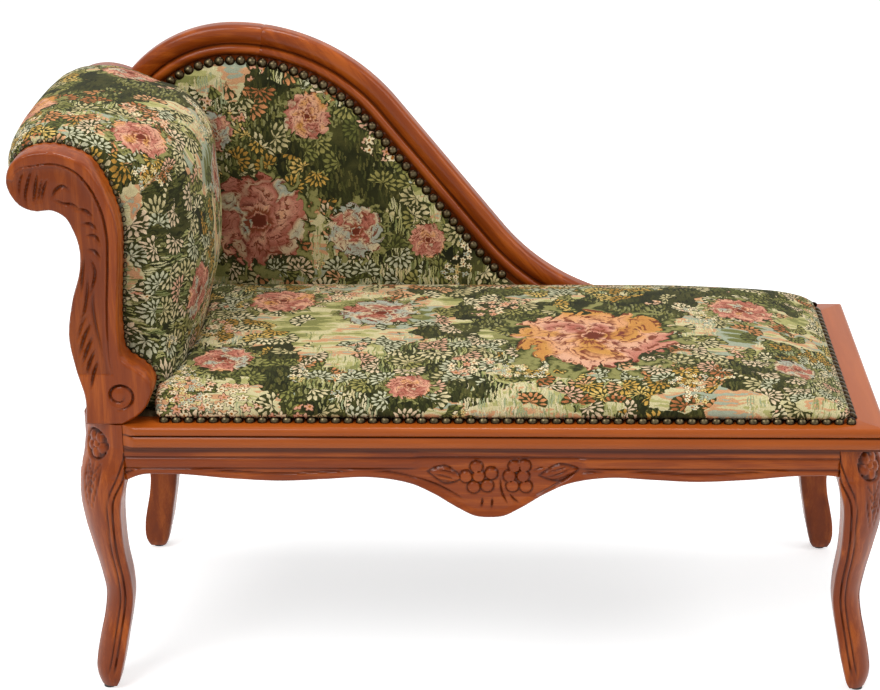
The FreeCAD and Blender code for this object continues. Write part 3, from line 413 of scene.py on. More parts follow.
def finish_shader(tree, shader, colour, bump, values):
    """Links the colour and the bump of a material and sets its other values."""
    tree.links.new(colour.outputs[0] if isinstance(colour, bpy.types.Node) else colour,
                   shader.inputs["Base Color"])
    tree.links.new(bump.outputs[0], shader.inputs["Normal"])
    for name, value in values.items():
        shader.inputs[name].default_value = value


def lacquered_wood(settings, grain_axis, lean=0.0, paler=0.0):
    """Stained beech under a semi-gloss lacquer: warm red-brown with soft long grain and dark cuts.

    lean turns the grain from its axis, in degrees, as in a rail sawn from a board laid along it.
    paler is the share by which all tones come nearer to the lightest, as painted light on boards lit more
    from above.
    """
    suffix = ("_leaning" if lean else "") + ("_paler" if paler else "")
    material, tree, shader = new_material("lacquered_stained_beech_" + grain_axis + suffix)
    if tree is None:
        return material
    place = add_node(tree, "ShaderNodeVectorRotate", {"rotation_type": "Y_AXIS"},
                     {"Vector": object_place(tree), "Angle": math.radians(-lean)})

    def stretched(across, along):
        scale = [across, across, across]
        scale["xyz".index(grain_axis)] = along
        return add_node(tree, "ShaderNodeMapping", inputs={0: place, "Scale": scale})

    # Growth rings show as bands about 12 mm wide and ten times as long
    bands = noise(tree, stretched(70.0, 5.0), detail=4.0, distortion=0.6)
    # Pores are hair-thin lines 0.4 mm wide, drawn about 1 mm wide so that they show
    pores = noise(tree, stretched(900.0, 40.0))
    grain = math_node(tree, "MULTIPLY_ADD", pores, 0.30, bands)
    grain = math_node(tree, "MULTIPLY_ADD", noise(tree, place, 9.0), 0.35, grain)
    light = Vector(settings.light)
    tones = [Vector(tone).lerp(light, paler) for tone in (settings.dark, settings.stain, light)]
    tone = ramp(tree, grain, list(zip((0.55, 0.80, 1.0), tones)))
    # The recess attribute darkens cuts with gathered stain, and the aprons' tops under the rims with painted
    # shade
    coloured = layer_over(tree, read_attribute(tree, "recess", "Fac"), tone, (*settings.cut, 1))
    rounded = add_node(tree, "ShaderNodeBevel", {"samples": 6}, {"Radius": settings.edge_round})
    bump = bumped(tree, pores, 0.10, 0.0004, Normal=rounded)
    finish_shader(tree, shader, coloured, bump, {
        "Roughness": settings.roughness, "IOR": 1.5, "Specular IOR Level": 0.1,
        "Coat Weight": 0.27, "Coat Roughness": 0.10})
    return material


def raw_beech():
    """Unfinished beech of the hidden rails and blocks: pale, dry and straight grained."""
    material, tree, shader = new_material("raw_beech")
    if tree is None:
        return material
    place = object_place(tree)
    stretched = add_node(tree, "ShaderNodeMapping", inputs={0: place, "Scale": (90.0, 9.0, 90.0)})
    bands = noise(tree, stretched, detail=4.0)
    tone = ramp(tree, bands, [(0.3, "#B98D5E"), (0.7, "#D6B184")])
    finish_shader(tree, shader, tone, bumped(tree, bands, 0.2, 0.0005), {"Roughness": 0.7})
    return material


def woven_cloth(name, dark, light, spacing):
    """Plain woven cloth, such as hessian, webbing or bottoming cloth: matt crossed threads."""
    material, tree, shader = new_material(name)
    if tree is None:
        return material
    place = object_place(tree)
    scale = 1 / (spacing * MM)
    waves = []
    for direction in ("X", "Y", "Z"):
        waves.append(add_node(tree, "ShaderNodeTexWave", {"bands_direction": direction},
                              {"Vector": place, "Scale": scale / 20 * math.pi,
                               "Distortion": 0.6, "Detail": 1.0, "Detail Scale": 3.0}))
    crossed = math_node(tree, "MULTIPLY_ADD", waves[0], waves[1])
    woven = math_node(tree, "MULTIPLY_ADD", waves[2], 0.5, crossed)
    blend = math_node(tree, "MULTIPLY_ADD", noise(tree, place, scale * 0.4), 0.6, woven)
    tone = ramp(tree, blend, [(0.2, dark), (0.9, light)])
    finish_shader(tree, shader, tone, bumped(tree, woven, 0.4, 0.0006), {"Roughness": 0.9})
    return material


def metal(name, dark, light, roughness):
    """Small metal parts, patinated bronze nail heads or zinc-plated steel screws: shiny, finely spotted."""
    material, tree, shader = new_material(name)
    if tree is None:
        return material
    spots = noise(tree, object_place(tree), 260.0, 3.0)
    tone = ramp(tree, spots, [(0.36, dark), (0.66, light)])
    # Brown patina gathers round the foot of each head
    aged = layer_over(tree, read_attribute(tree, "recess", "Fac"), tone, "#2A1C12")
    finish_shader(tree, shader, aged, bumped(tree, spots, 0.25, 0.0005),
                  {"Metallic": 1.0, "Roughness": roughness})
    return material


def glide_nylon():
    """Moulded nylon glide: dark, slightly shiny, with a fine moulded grain."""
    material, tree, shader = new_material("moulded_nylon")
    if tree is None:
        return material
    grain = noise(tree, object_place(tree), 1500.0)
    tone = ramp(tree, grain, [(0.3, "#1E1A18"), (0.7, "#2C2724")])
    finish_shader(tree, shader, tone, bumped(tree, grain, 0.2, 0.0003), {"Roughness": 0.5})
    return material


# Leaf layers of the tapestry, from the ground up: turn in degrees, leaf width and length in millimetres,
# share of the cloth left bare, scale of the clusters per metre, seed and three colours
LEAF_LAYERS = [
    (20, 6.0, 24.0, 0.44, 7.0, 1.0, ("#2F3215", "#403F1C", "#252711")),
    (-50, 5.0, 20.0, 0.49, 9.0, 2.0, ("#4B4C24", "#5E5A2E", "#383A1B")),
    (70, 4.4, 18.0, 0.54, 10.0, 3.0, ("#74713C", "#8E8A58", "#565629")),
]
GRASS_LAYERS = [
    (8, 3.6, 34.0, 0.545, 4.5, 5.0, ("#A7A468", "#C6BF90", "#7E8450")),
    (-14, 3.4, 28.0, 0.575, 5.5, 6.0, ("#CDBE8C", "#9CA27A", "#D8CBA2")),
]
# Sprays of long leaflets in a fan: size in millimetres, share left bare, clusters per metre, seed and colours
SPRAY_LAYERS = [
    (50.0, 0.51, 4.5, 21.0, ("#858346", "#9C9454", "#666834")),
    (54.0, 0.55, 3.6, 22.0, ("#CC8A58", "#B06C40", "#D8A274")),
    (56.0, 0.50, 4.0, 23.0, ("#D5C698", "#C4B684", "#E0D2A8")),
    (46.0, 0.56, 3.6, 24.0, ("#CBA04C", "#B88A3C", "#DAB868")),
    (50.0, 0.54, 4.5, 25.0, ("#DCC4A0", "#C4C2A0", "#D9A98A")),
]
# Leaflets in the inner ring of a spray, and the width of a ring as a share of its cell
SPRAY_LEAFLETS = 8.0
SPRAY_RING = 0.235
# Small blossoms: size in millimetres, share left bare, clusters per metre, seed and colours
BLOSSOM_LAYERS = [
    (17.0, 0.615, 6.0, 11.0, ("#E2D0A8", "#DCB290", "#D29878")),
    (11.0, 0.640, 8.0, 12.0, ("#E6D8B0", "#D2BC7C", "#B4B8A0")),
]


def tapestry(settings):
    """Jacquard woven verdure: crossed coloured threads, matt, with leaf sprays and blooms on dark green.

    The cloth attribute gives the place on the unrolled cloth, and bloom the place in the nearest bloom.
    """
    material, tree, shader = new_material("jacquard_tapestry")
    if tree is None:
        return material
    cloth = read_attribute(tree, "cloth", "Vector")
    thread = settings.thread
    # Each thread crossing is one colour, so outlines step from thread to thread as in a real weave
    stepped = add_node(tree, "ShaderNodeVectorMath", {"operation": "SNAP"}, {0: cloth, 1: (thread,) * 3})
    wobble = noise(tree, stepped, 55.0)
    offset = add_node(tree, "ShaderNodeVectorMath", {"operation": "MULTIPLY_ADD"},
                      {0: wobble.outputs["Color"], 1: (0.010, 0.010, 0.0), 2: stepped})
    colour = ramp(tree, noise(tree, stepped, 16.0, 4.0),
                  [(0.35, settings.ground), (0.52, "#2E2F15"), (0.66, "#4E4C26")])
    for row in LEAF_LAYERS:
        colour = leaf_layer(tree, colour, offset, *row)
    colour = meadow_layer(tree, colour, offset)
    for row in GRASS_LAYERS:
        colour = leaf_layer(tree, colour, offset, *row)
    for row in SPRAY_LAYERS:
        colour = spray_layer(tree, colour, offset, *row)
    for row in BLOSSOM_LAYERS:
        colour = blossom_layer(tree, colour, offset, *row)
    colour = great_blooms(tree, colour)
    # Single threads are a little lighter or darker than their neighbours
    speck = add_node(tree, "ShaderNodeTexWhiteNoise", inputs={"Vector": stepped}).outputs["Value"]
    varied = dimmed(tree, colour, speck, 0.0, 1.0, 0.82, 1.14)
    # Ribs of the weft, drawn 1.8 mm apart so that they show
    ribs = []
    for direction in ("X", "Y"):
        ribs.append(add_node(tree, "ShaderNodeTexWave", {"bands_direction": direction},
                             {"Vector": cloth, "Scale": math.pi / 10 / (2 * thread), "Distortion": 0.0}))
    weave = math_node(tree, "MULTIPLY", ribs[0], ribs[1])
    finish_shader(tree, shader, varied, bumped(tree, weave, 0.45, 0.0006), {
        "Roughness": 0.92, "Specular IOR Level": 0.16, "Sheen Weight": 0.03, "Sheen Roughness": 0.5})
    return material


def seeded(tree, vector, seed):
    """The cloth's places moved far off, so that each layer's clusters fall elsewhere."""
    return add_node(tree, "ShaderNodeVectorMath", {"operation": "ADD"},
                    {0: vector, 1: (seed * 3.1, seed * 5.7, 0)})


def grove_mask(tree, vector, seed, clusters, bare, detail=3.0):
    """One where a layer's clusters grow."""
    return math_node(tree, "GREATER_THAN", noise(tree, seeded(tree, vector, seed), clusters, detail), bare)


def cell_places(tree, vector, seed, scale, turn=0.0, randomness=0.8):
    """Random cells over the cloth: the place from a cell's middle, and the cell's three random numbers."""
    scaled = add_node(tree, "ShaderNodeMapping", inputs={
        0: vector, "Location": (seed * 0.37, seed * 0.71, 0.0), "Rotation": (0, 0, math.radians(turn)),
        "Scale": (scale[0], scale[1], 0.0)})
    cells = add_node(tree, "ShaderNodeTexVoronoi", {"voronoi_dimensions": "2D"},
                     {"Vector": scaled, "Scale": 1.0, "Randomness": randomness})
    local = add_node(tree, "ShaderNodeVectorMath", {"operation": "SUBTRACT"},
                     {0: scaled, 1: cells.outputs["Position"]})
    return local, add_node(tree, "ShaderNodeSeparateColor", inputs={0: cells.outputs["Color"]})


def picked_tone(tree, number, tones):
    """One of three thread colours for each cell."""
    return ramp(tree, number, list(zip((0.0, 0.36, 0.70), tones)), "CONSTANT")


def polar(tree, local):
    """Radius and angle of places in a cell."""
    parts = add_node(tree, "ShaderNodeSeparateXYZ", inputs={0: local})
    length = add_node(tree, "ShaderNodeVectorMath", {"operation": "LENGTH"}, {0: local})
    return length.outputs["Value"], math_node(tree, "ARCTAN2", parts.outputs[1], parts.outputs[0])


def meadow_layer(tree, below, vector):
    """Pale glades between the dark foliage, streaked along the cloth like brushed paint."""
    streaked = add_node(tree, "ShaderNodeVectorMath", {"operation": "MULTIPLY"},
                        {0: seeded(tree, vector, 31.0), 1: (12.0, 55.0, 0.0)})
    places = noise(tree, seeded(tree, vector, 37.0), 6.0)
    mixed = math_node(tree, "MULTIPLY_ADD", noise(tree, streaked, detail=3.0), 0.45,
                      math_node(tree, "MULTIPLY", places, 0.55))
    tone = ramp(tree, mixed, [(0.30, "#7F7F48"), (0.42, "#A9A468"), (0.47, "#C9BE90"), (0.52, "#C8966C"),
                              (0.56, "#9EA48C"), (0.62, "#6C6E3C")], "CONSTANT")
    # They open wider along the front of the seat
    parts = add_node(tree, "ShaderNodeSeparateXYZ", inputs={0: vector})
    front = add_node(tree, "ShaderNodeMapRange", inputs={0: parts.outputs[1], 1: -0.20, 2: -0.26, 3: 0.0,
                                                         4: 0.09})
    grove = noise(tree, seeded(tree, vector, 33.0), 4.0, 5.0)
    open_ground = math_node(tree, "GREATER_THAN", math_node(tree, "ADD", grove, front), 0.515)
    return layer_over(tree, open_ground, below, tone)


def leaf_layer(tree, below, vector, turn, width, length, bare, clusters, seed, tones):
    """Lays clusters of pointed leaves of one direction over the colours below."""
    local, numbers = cell_places(tree, vector, seed, (1 / (width * MM), 1 / (length * MM)), turn, 0.85)
    parts = add_node(tree, "ShaderNodeSeparateXYZ", inputs={0: local})
    across = math_node(tree, "ABSOLUTE", parts.outputs[0])
    along = math_node(tree, "MULTIPLY", parts.outputs[1], parts.outputs[1])
    leaf = math_node(tree, "LESS_THAN", math_node(tree, "MULTIPLY_ADD", along, 1.9, across), 0.36)
    mask = math_node(tree, "MULTIPLY", leaf, grove_mask(tree, vector, seed, clusters, bare))
    # The midrib is a darker line down each leaf
    ribbed = dimmed(tree, picked_tone(tree, numbers.outputs[0], tones), across, 0.03, 0.10, 0.66, 1.0)
    return layer_over(tree, mask, below, ribbed)


def spray_layer(tree, below, vector, size, bare, clusters, seed, tones):
    """Lays fans of two rings of long leaflets on their own dark shadow."""
    local, numbers = cell_places(tree, vector, seed, (1 / (size * MM), 1 / (size * MM)))
    radius, angle = polar(tree, local)
    spun = math_node(tree, "MULTIPLY_ADD", numbers.outputs[1], 2 * math.pi, angle)
    shown = grove_mask(tree, vector, seed, clusters, bare, 1.0)
    # Each fan spreads over two thirds of a turn
    spread = math_node(tree, "GREATER_THAN", math_node(tree, "COSINE", spun), -0.4)
    fan = math_node(tree, "MULTIPLY", math_node(tree, "MULTIPLY", spread, shown),
                    math_node(tree, "LESS_THAN", radius, 2 * SPRAY_RING))
    steps = math_node(tree, "DIVIDE", radius, SPRAY_RING)
    ring_number = math_node(tree, "FLOOR", steps)
    out = math_node(tree, "FRACT", steps)
    # The outer ring has seven leaflets more, which stand between those of the inner ring
    leaflets = math_node(tree, "MULTIPLY_ADD", ring_number, 7.0, SPRAY_LEAFLETS)
    turns = math_node(tree, "MULTIPLY", math_node(tree, "MULTIPLY", spun, 1 / (2 * math.pi)), leaflets)
    staggered = math_node(tree, "FRACT", math_node(tree, "MULTIPLY_ADD", ring_number, 0.5, turns))
    aside = math_node(tree, "ABSOLUTE", math_node(tree, "SUBTRACT", staggered, 0.5))
    # A leaflet is widest before its middle and pointed at both ends
    swell = math_node(tree, "SINE", math_node(tree, "MULTIPLY", math_node(tree, "POWER", out, 0.8), math.pi))
    leaflet = math_node(tree, "LESS_THAN", aside, math_node(tree, "MULTIPLY", swell, 0.34))
    mask = math_node(tree, "MULTIPLY", fan, leaflet)
    shaded = dimmed(tree, picked_tone(tree, numbers.outputs[0], tones), out, 0.05, 0.7, 0.62, 1.06)
    return layer_over(tree, mask, layer_over(tree, fan, below, "#3A3B1C"), shaded)


def blossom_layer(tree, below, vector, size, bare, clusters, seed, tones):
    """Lays clusters of small five-petalled blossoms over the colours below."""
    local, numbers = cell_places(tree, vector, seed, (1 / (size * MM), 1 / (size * MM)), 0.0, 0.7)
    radius, angle = polar(tree, local)
    lobes = math_node(tree, "COSINE", math_node(tree, "MULTIPLY_ADD", angle, 5.0, seed))
    edge = math_node(tree, "MULTIPLY_ADD", lobes, 0.12, 0.34)
    shown = grove_mask(tree, vector, seed, clusters, bare, 2.0)
    shaded = math_node(tree, "LESS_THAN", radius, math_node(tree, "ADD", edge, 0.09))
    shadow = math_node(tree, "MULTIPLY", shaded, shown)
    petal = math_node(tree, "MULTIPLY", math_node(tree, "LESS_THAN", radius, edge), shown)
    eye = math_node(tree, "LESS_THAN", radius, 0.12)
    eyed = layer_over(tree, eye, picked_tone(tree, numbers.outputs[0], tones), "#9C6426")
    return layer_over(tree, petal, layer_over(tree, shadow, below, "#4A3A20"), eyed)


# Great blooms: each ring of petals has its reach, number of petals, turn and dark colour
BLOOM_RINGS = [
    (1.00, 13, 0.4, "#6E3420"),
    (0.80, 11, 1.3, "#7A3C26"),
    (0.60, 9, 2.1, "#74382A"),
    (0.40, 7, 0.9, "#84442A"),
    (0.20, 5, 0.2, "#6A2E1C"),
]


def great_blooms(tree, below):
    """Lays full many-petalled blooms with a wreath of leaves over the colours below."""
    bloom = read_attribute(tree, "bloom", "Vector")
    shown = math_node(tree, "GREATER_THAN", read_attribute(tree, "on_bloom", "Fac"), 0.999)
    parts = add_node(tree, "ShaderNodeSeparateXYZ", inputs={0: bloom})
    u, v, share = parts.outputs[0], parts.outputs[1], parts.outputs[2]
    own = math_node(tree, "MULTIPLY", share, 17.0)

    def place(x, y, z=0.0):
        return add_node(tree, "ShaderNodeCombineXYZ", inputs={0: x, 1: y, 2: z})

    ragged = noise(tree, place(u, v, own), 2.6, 4.0)
    away, angle = polar(tree, place(u, v))
    radius = math_node(tree, "SUBTRACT", math_node(tree, "MULTIPLY_ADD", ragged, 0.46, away), 0.23)
    swung = math_node(tree, "MULTIPLY_ADD", ragged, 1.6, angle)
    round_eleven = math_node(tree, "MULTIPLY", swung, 11.0)
    streaks = noise(tree, place(round_eleven, math_node(tree, "MULTIPLY", radius, 2.5), own))
    # Wreath of eleven pointed leaves
    wave = math_node(tree, "COSINE", round_eleven)
    reach = math_node(tree, "MULTIPLY_ADD", wave, 0.20, 1.10)
    wreath = math_node(tree, "MULTIPLY", math_node(tree, "LESS_THAN", radius, reach), shown)
    green = ramp(tree, wave, [(0.0, "#2E3014"), (0.5, "#55562A"), (0.9, "#8A8650")])
    colour = layer_over(tree, wreath, below, green)
    # Petals run from peach to rose, gold and grey-green round the bloom, and each bloom leans to one of them
    hue_place = place(math_node(tree, "MULTIPLY", swung, 1.1), math_node(tree, "MULTIPLY", radius, 1.6), own)
    hues = noise(tree, hue_place, detail=1.0)
    lean = math_node(tree, "MULTIPLY_ADD", share, 0.42, math_node(tree, "SUBTRACT", hues, 0.16))
    tint = ramp(tree, lean, [(0.00, "#B4703C"), (0.24, "#C89048"), (0.34, "#D89C6C"), (0.42, "#DCA888"),
                             (0.52, "#C4826C"), (0.62, "#A85E4C"), (0.70, "#D2C09A"), (0.78, "#A6AA98")])
    for span, petals, turn, dark in BLOOM_RINGS:
        bend = math_node(tree, "COSINE", math_node(tree, "MULTIPLY_ADD", swung, petals / 2, turn))
        edge = math_node(tree, "MULTIPLY_ADD", math_node(tree, "ABSOLUTE", bend), 0.20 * span, 0.80 * span)
        inside = math_node(tree, "MULTIPLY", math_node(tree, "LESS_THAN", radius, edge), shown)
        depth = math_node(tree, "DIVIDE", radius, edge)
        shade = math_node(tree, "MULTIPLY_ADD", math_node(tree, "SUBTRACT", streaks, 0.5), 0.7, depth)
        # A dark line of thread edges every petal, and its throat is dark too
        lit = ramp(tree, shade, [(0.62, (0, 0, 0)), (0.80, (1, 1, 1)), (0.965, (1, 1, 1)),
                                 (0.985, (0.05, 0.05, 0.05))])
        colour = layer_over(tree, inside, colour, layer_over(tree, lit, dark, tint))
    return colour


def dress_node(name, material):
    """Gives a kept frame node its finish, with smooth curved faces and crisp edges."""
    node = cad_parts[name]
    node.data.materials.clear()
    node.data.materials.append(material)
    node.data.shade_smooth()
    node.data.set_sharp_from_angle(angle=math.radians(35))


# Rounded moulding round the seat frame: inset from the outer face and height
RIM_PROFILE = [
    (66.0, 385.0), (6.0, 385.0), (6.0, 388.5), (4.0, 388.5), (2.2, 390.2), (0.9, 392.6), (0.2, 395.2),
    (0.0, 396.8), (0.2, 398.6), (0.9, 401.2), (2.2, 403.4), (4.0, 405.0), (7.0, 405.0), (7.0, 406.5),
    (4.0, 406.5), (1.9, 408.2), (0.7, 410.6), (0.5, 413.0), (1.2, 415.8), (2.8, 418.2), (4.6, 419.5),
    (6.5, 420.0), (44.0, 420.0), (44.0, 417.0), (66.0, 417.0),
]
RIM_CUT_PLACES = (1, 2, 3, 11, 12, 13, 14)
RIM_CUT_SHADE = 0.75
# Painted light: the rims, lit more from above than the aprons below them, come this share nearer to the
# lightest tone
RIM_PAINTED_LIGHT = 0.7
# Beside the left leg the front rim is drawn in to the leg's face, over the runs of these sections
SETTLE_RUNS = (0.0, 1.5, 4.0, 8.0, 13.0, 19.0)
SETTLE_DEPTH = 10.5


def rim_ring(side, x, mitred=False, settle=0.0):
    """One section of the rim; settle draws the moulding in."""
    ring = []
    for inset, z in RIM_PROFILE:
        drawn = max(inset, settle)
        ring.append((x - drawn * mitred, side * (SIDE_Y - drawn), z))
    return ring


def build_rims(wood_x, wood_y):
    """Moulded rim of the seat frame: two sides with mitred ends and the foot end between them."""
    recess = np.zeros(len(RIM_PROFILE))
    recess[list(RIM_CUT_PLACES)] = RIM_CUT_SHADE
    mitres = [rim_ring(side, FOOT_END_X, mitred=True) for side in (FRONT, REAR)]
    lengths = []
    for side, node, mitre in zip((FRONT, REAR), ("front_rim", "rear_rim"), mitres):
        rings = []
        for run in SETTLE_RUNS:
            settle = SETTLE_DEPTH * (1 - ease(run, 0, SETTLE_RUNS[-1])) if side == FRONT else 0.0
            rings.append(rim_ring(side, STUMP_INNER_X + run, settle=settle))
        lengths.append((node, rings + [rim_ring(side, 0.0), mitre], wood_x))
    lengths.append(("foot_rim", mitres, wood_y))
    for node, rings, wood in lengths:
        wood_piece(node + "_moulding", node, rings, np.tile(recess, len(rings)), wood, 38)


# Cabriole leg sections: height, outward shift, width and corner cut, as shares
CABRIOLE = np.array([
    (0.000, 0.200, 0.39, 0.60), (0.021, 0.195, 0.51, 0.60), (0.062, 0.185, 0.62, 0.60),
    (0.108, 0.143, 0.665, 0.60), (0.194, 0.048, 0.665, 0.58), (0.281, -0.056, 0.65, 0.60),
    (0.365, -0.111, 0.665, 0.64), (0.436, -0.076, 0.72, 0.68), (0.567, 0.044, 0.80, 0.72),
    (0.667, 0.114, 0.91, 0.74), (0.790, 0.135, 1.03, 0.74), (0.871, 0.065, 1.13, 0.74),
    (0.934, 0.025, 1.05, 0.80), (1.000, 0.000, 1.00, 0.86),
])
CORNER_BULGE = 0.16
LEG_FACE_POINTS = 15
LEG_CUT_POINTS = 25
# Stands for the distances on the two plain inner faces
FAR = 1e3
# Grooves beside both edges of the carved faces: distance, height of their upper end, rise, half width, depth
LEG_GROOVES = [(10.5, 356.0, 58.0, 2.1, 2.6), (18.5, 377.0, 74.0, 2.0, 2.3)]
KNEE_FLOWER_RADIUS = 22.0


def leg_ring(width, cut):
    """Section of a leg in its own outward directions.

    With it come how far each point is round from the outer corner, and how far from the nearer edge.
    """
    half = width / 2
    bulge = half - cut / 2 + CORNER_BULGE * cut / math.sqrt(2)
    a, m, b = np.array([half, half - cut]), np.array([bulge, bulge]), np.array([half - cut, half])
    control = 2 * m - (a + b) / 2
    t = np.linspace(0, 1, LEG_CUT_POINTS)[:, None]
    cut_part = (1 - t) ** 2 * a + 2 * t * (1 - t) * control + t ** 2 * b
    s = np.linspace(0, 1, LEG_FACE_POINTS)[:, None]
    side = np.array([half, -half]) + s * (a - np.array([half, -half]))
    face = b + s * (np.array([-half, half]) - b)
    inner = np.linspace(0, 1, 7)[1:-1, None]
    back_a = np.array([-half, half]) + inner * np.array([0, -width])
    back_b = np.array([-half, -half]) + inner * np.array([width, 0])
    ring = np.concatenate([side[:-1], cut_part, face[1:], back_a, np.array([[-half, -half]]), back_b])
    outer = 2 * (LEG_FACE_POINTS - 1) + LEG_CUT_POINTS
    run = run_lengths(ring[:outer])
    around, edge = np.full(len(ring), FAR), np.full(len(ring), FAR)
    around[:outer] = run - run[-1] / 2
    edge[:outer] = np.minimum(run, run[-1] - run)
    return ring, around, edge


def leg_relief(around, edge, z, has_stump):
    """Carving of a leg: height above the plain surface and how deep in a cut each place lies."""
    relief = np.zeros(z.shape)
    recess = np.zeros(z.shape)
    outer = edge < FAR
    for near, start, rise, width, depth in LEG_GROOVES:
        line = near * (1 - ease(z, start - rise, start) ** 1.5)
        fade = ease(z, 22, 40) * (z < start)
        groove = np.clip(1 - ((edge - line) / width) ** 2, 0, 1) * fade * outer
        relief -= depth * groove
        recess = np.maximum(recess, 0.85 * groove)
    relief += 0.8 * (1 - ease(edge, 0, 7)) * ease(z, 30, 60) * (1 - ease(z, 300, 345)) * outer
    top = 384.0 if has_stump else 356.0
    flower = flower_relief(around, z, (0.0, top), KNEE_FLOWER_RADIUS, 5, 0.3)
    reach = np.hypot(around, z - top)
    shown = outer & (reach < KNEE_FLOWER_RADIUS + 1)
    moat = np.clip(1 - np.abs(reach - KNEE_FLOWER_RADIUS) / 3.2, 0, 1) * outer
    relief += np.where(shown, 5.0 * flower - 2.0, 0) - 2.2 * moat
    recess = np.maximum(recess, np.where(shown, 0.9 * (1 - ease(flower, 0.05, 0.45)), 0))
    recess = np.maximum(recess, 0.75 * moat)
    leaf_cuts = [([(0, top - 26), (0, top - 55), (0, top - 88)], 1.9, 2.0)]
    for side in (-1, 1):
        leaf_cuts.append(([(side * 17, top - 22), (side * 15, top - 52), (side * 3, top - 98)], 2.0, 2.2))
        for step in range(3):
            low, out = top - 36 - 15 * step, side * (15 - 3.5 * step)
            leaf_cuts.append(([(0, low - 10), (out * 0.6, low + 2), (out, low + 13)], 2.0, 2.0))
    cuts = stroke_cuts(around, z, leaf_cuts) * outer
    return relief - cuts, np.maximum(recess, 0.8 * cuts / 2.2)


def build_leg(name, node, centre_x, side_x, side_y, has_stump, material):
    """One cabriole leg with its grooves, knee flower and hanging leaf."""
    half = LEG_WIDTH / 2
    heights = np.concatenate([np.linspace(0, 0.72, 95), np.linspace(0.72, 1.0, 66)[1:]])
    z_values = GLIDE_HEIGHT + heights * (RIM_BOTTOM - GLIDE_HEIGHT)
    if has_stump:
        z_values = np.concatenate([z_values, np.linspace(RIM_BOTTOM, RIM_TOP, 23)[1:]])
        heights = np.concatenate([heights, np.ones(22)])
    columns = [smooth_table(CABRIOLE[:, 0], CABRIOLE[:, k], heights) for k in (1, 2, 3)]
    rings, recesses = [], []
    for z, shift_share, width_share, cut_share in zip(z_values, *columns):
        width = width_share * LEG_WIDTH
        ring, around, edge = leg_ring(width, cut_share * width)
        level = np.full(len(ring), z)
        relief, recess = leg_relief(around, edge, level, has_stump)
        ahead, behind = np.roll(ring, -1, axis=0), np.roll(ring, 1, axis=0)
        direction = ahead - behind
        normal = np.stack([direction[:, 1], -direction[:, 0]], axis=1)
        normal /= np.linalg.norm(normal, axis=1, keepdims=True)
        rounded = 0.5 * ring + 0.25 * (ahead + behind)
        placed = rounded + normal * relief[:, None] + shift_share * LEG_WIDTH
        # Under the rim the leg goes over into its square block
        if z > RIM_BOTTOM - 47:
            placed = np.maximum(placed, -half)
            if z <= RIM_BOTTOM:
                placed = np.minimum(placed, half + 6 * (1 - ease(z, 372, RIM_BOTTOM)))
        rings.append(np.stack([centre_x + side_x * placed[:, 0], side_y * (LEG_Y + placed[:, 1]), level],
                              axis=1))
        recesses.append(recess)
    wood_piece(name, node, rings, np.concatenate(recesses), material, 60)


# Scrolled end posts: outline and field edge as shares of the scroll's reach and the post's height
POST_OUTLINE = [
    (0.370, 0.000), (0.362, 0.093), (0.435, 0.204), (0.486, 0.327), (0.428, 0.461), (0.333, 0.579),
    (0.326, 0.655), (0.377, 0.720), (0.442, 0.763), (0.565, 0.788), (0.739, 0.786), (0.862, 0.801),
    (0.950, 0.835), (1.000, 0.885), (0.949, 0.950), (0.841, 0.982), (0.623, 1.000), (0.406, 0.987),
    (0.225, 0.957), (0.080, 0.884), (0.007, 0.819), (-0.043, 0.763), (-0.065, 0.708), (-0.058, 0.617),
    (-0.022, 0.453), (-0.010, 0.340), (-0.051, 0.242), (-0.167, 0.212), (-0.268, 0.181), (-0.319, 0.141),
    (-0.297, 0.101), (-0.225, 0.055), (-0.101, 0.018), (0.000, 0.000),
]
REAR_OUTLINE = POST_OUTLINE[:21] + [(0.000, 0.600), (-0.010, 0.453), (-0.010, 0.340), (0.000, 0.160),
                                    (0.000, 0.000)]
FIELD_EDGE = [
    (0.060, 0.190), (0.085, 0.235), (0.092, 0.340), (0.080, 0.453), (0.048, 0.600), (0.040, 0.700),
    (0.060, 0.760), (0.115, 0.825), (0.195, 0.880), (0.320, 0.930), (0.500, 0.955), (0.720, 0.950),
    (0.870, 0.938), (0.944, 0.905),
]
VOLUTE_CENTRE = (0.010, 0.110)


def head_place(shares):
    """Places in the plane of the scroll, in millimetres."""
    shares = np.asarray(shares, float)
    return np.stack([STUMP_INNER_X - shares[..., 0] * SCROLL_REACH, RIM_TOP + shares[..., 1] * POST_HEIGHT],
                    axis=-1)


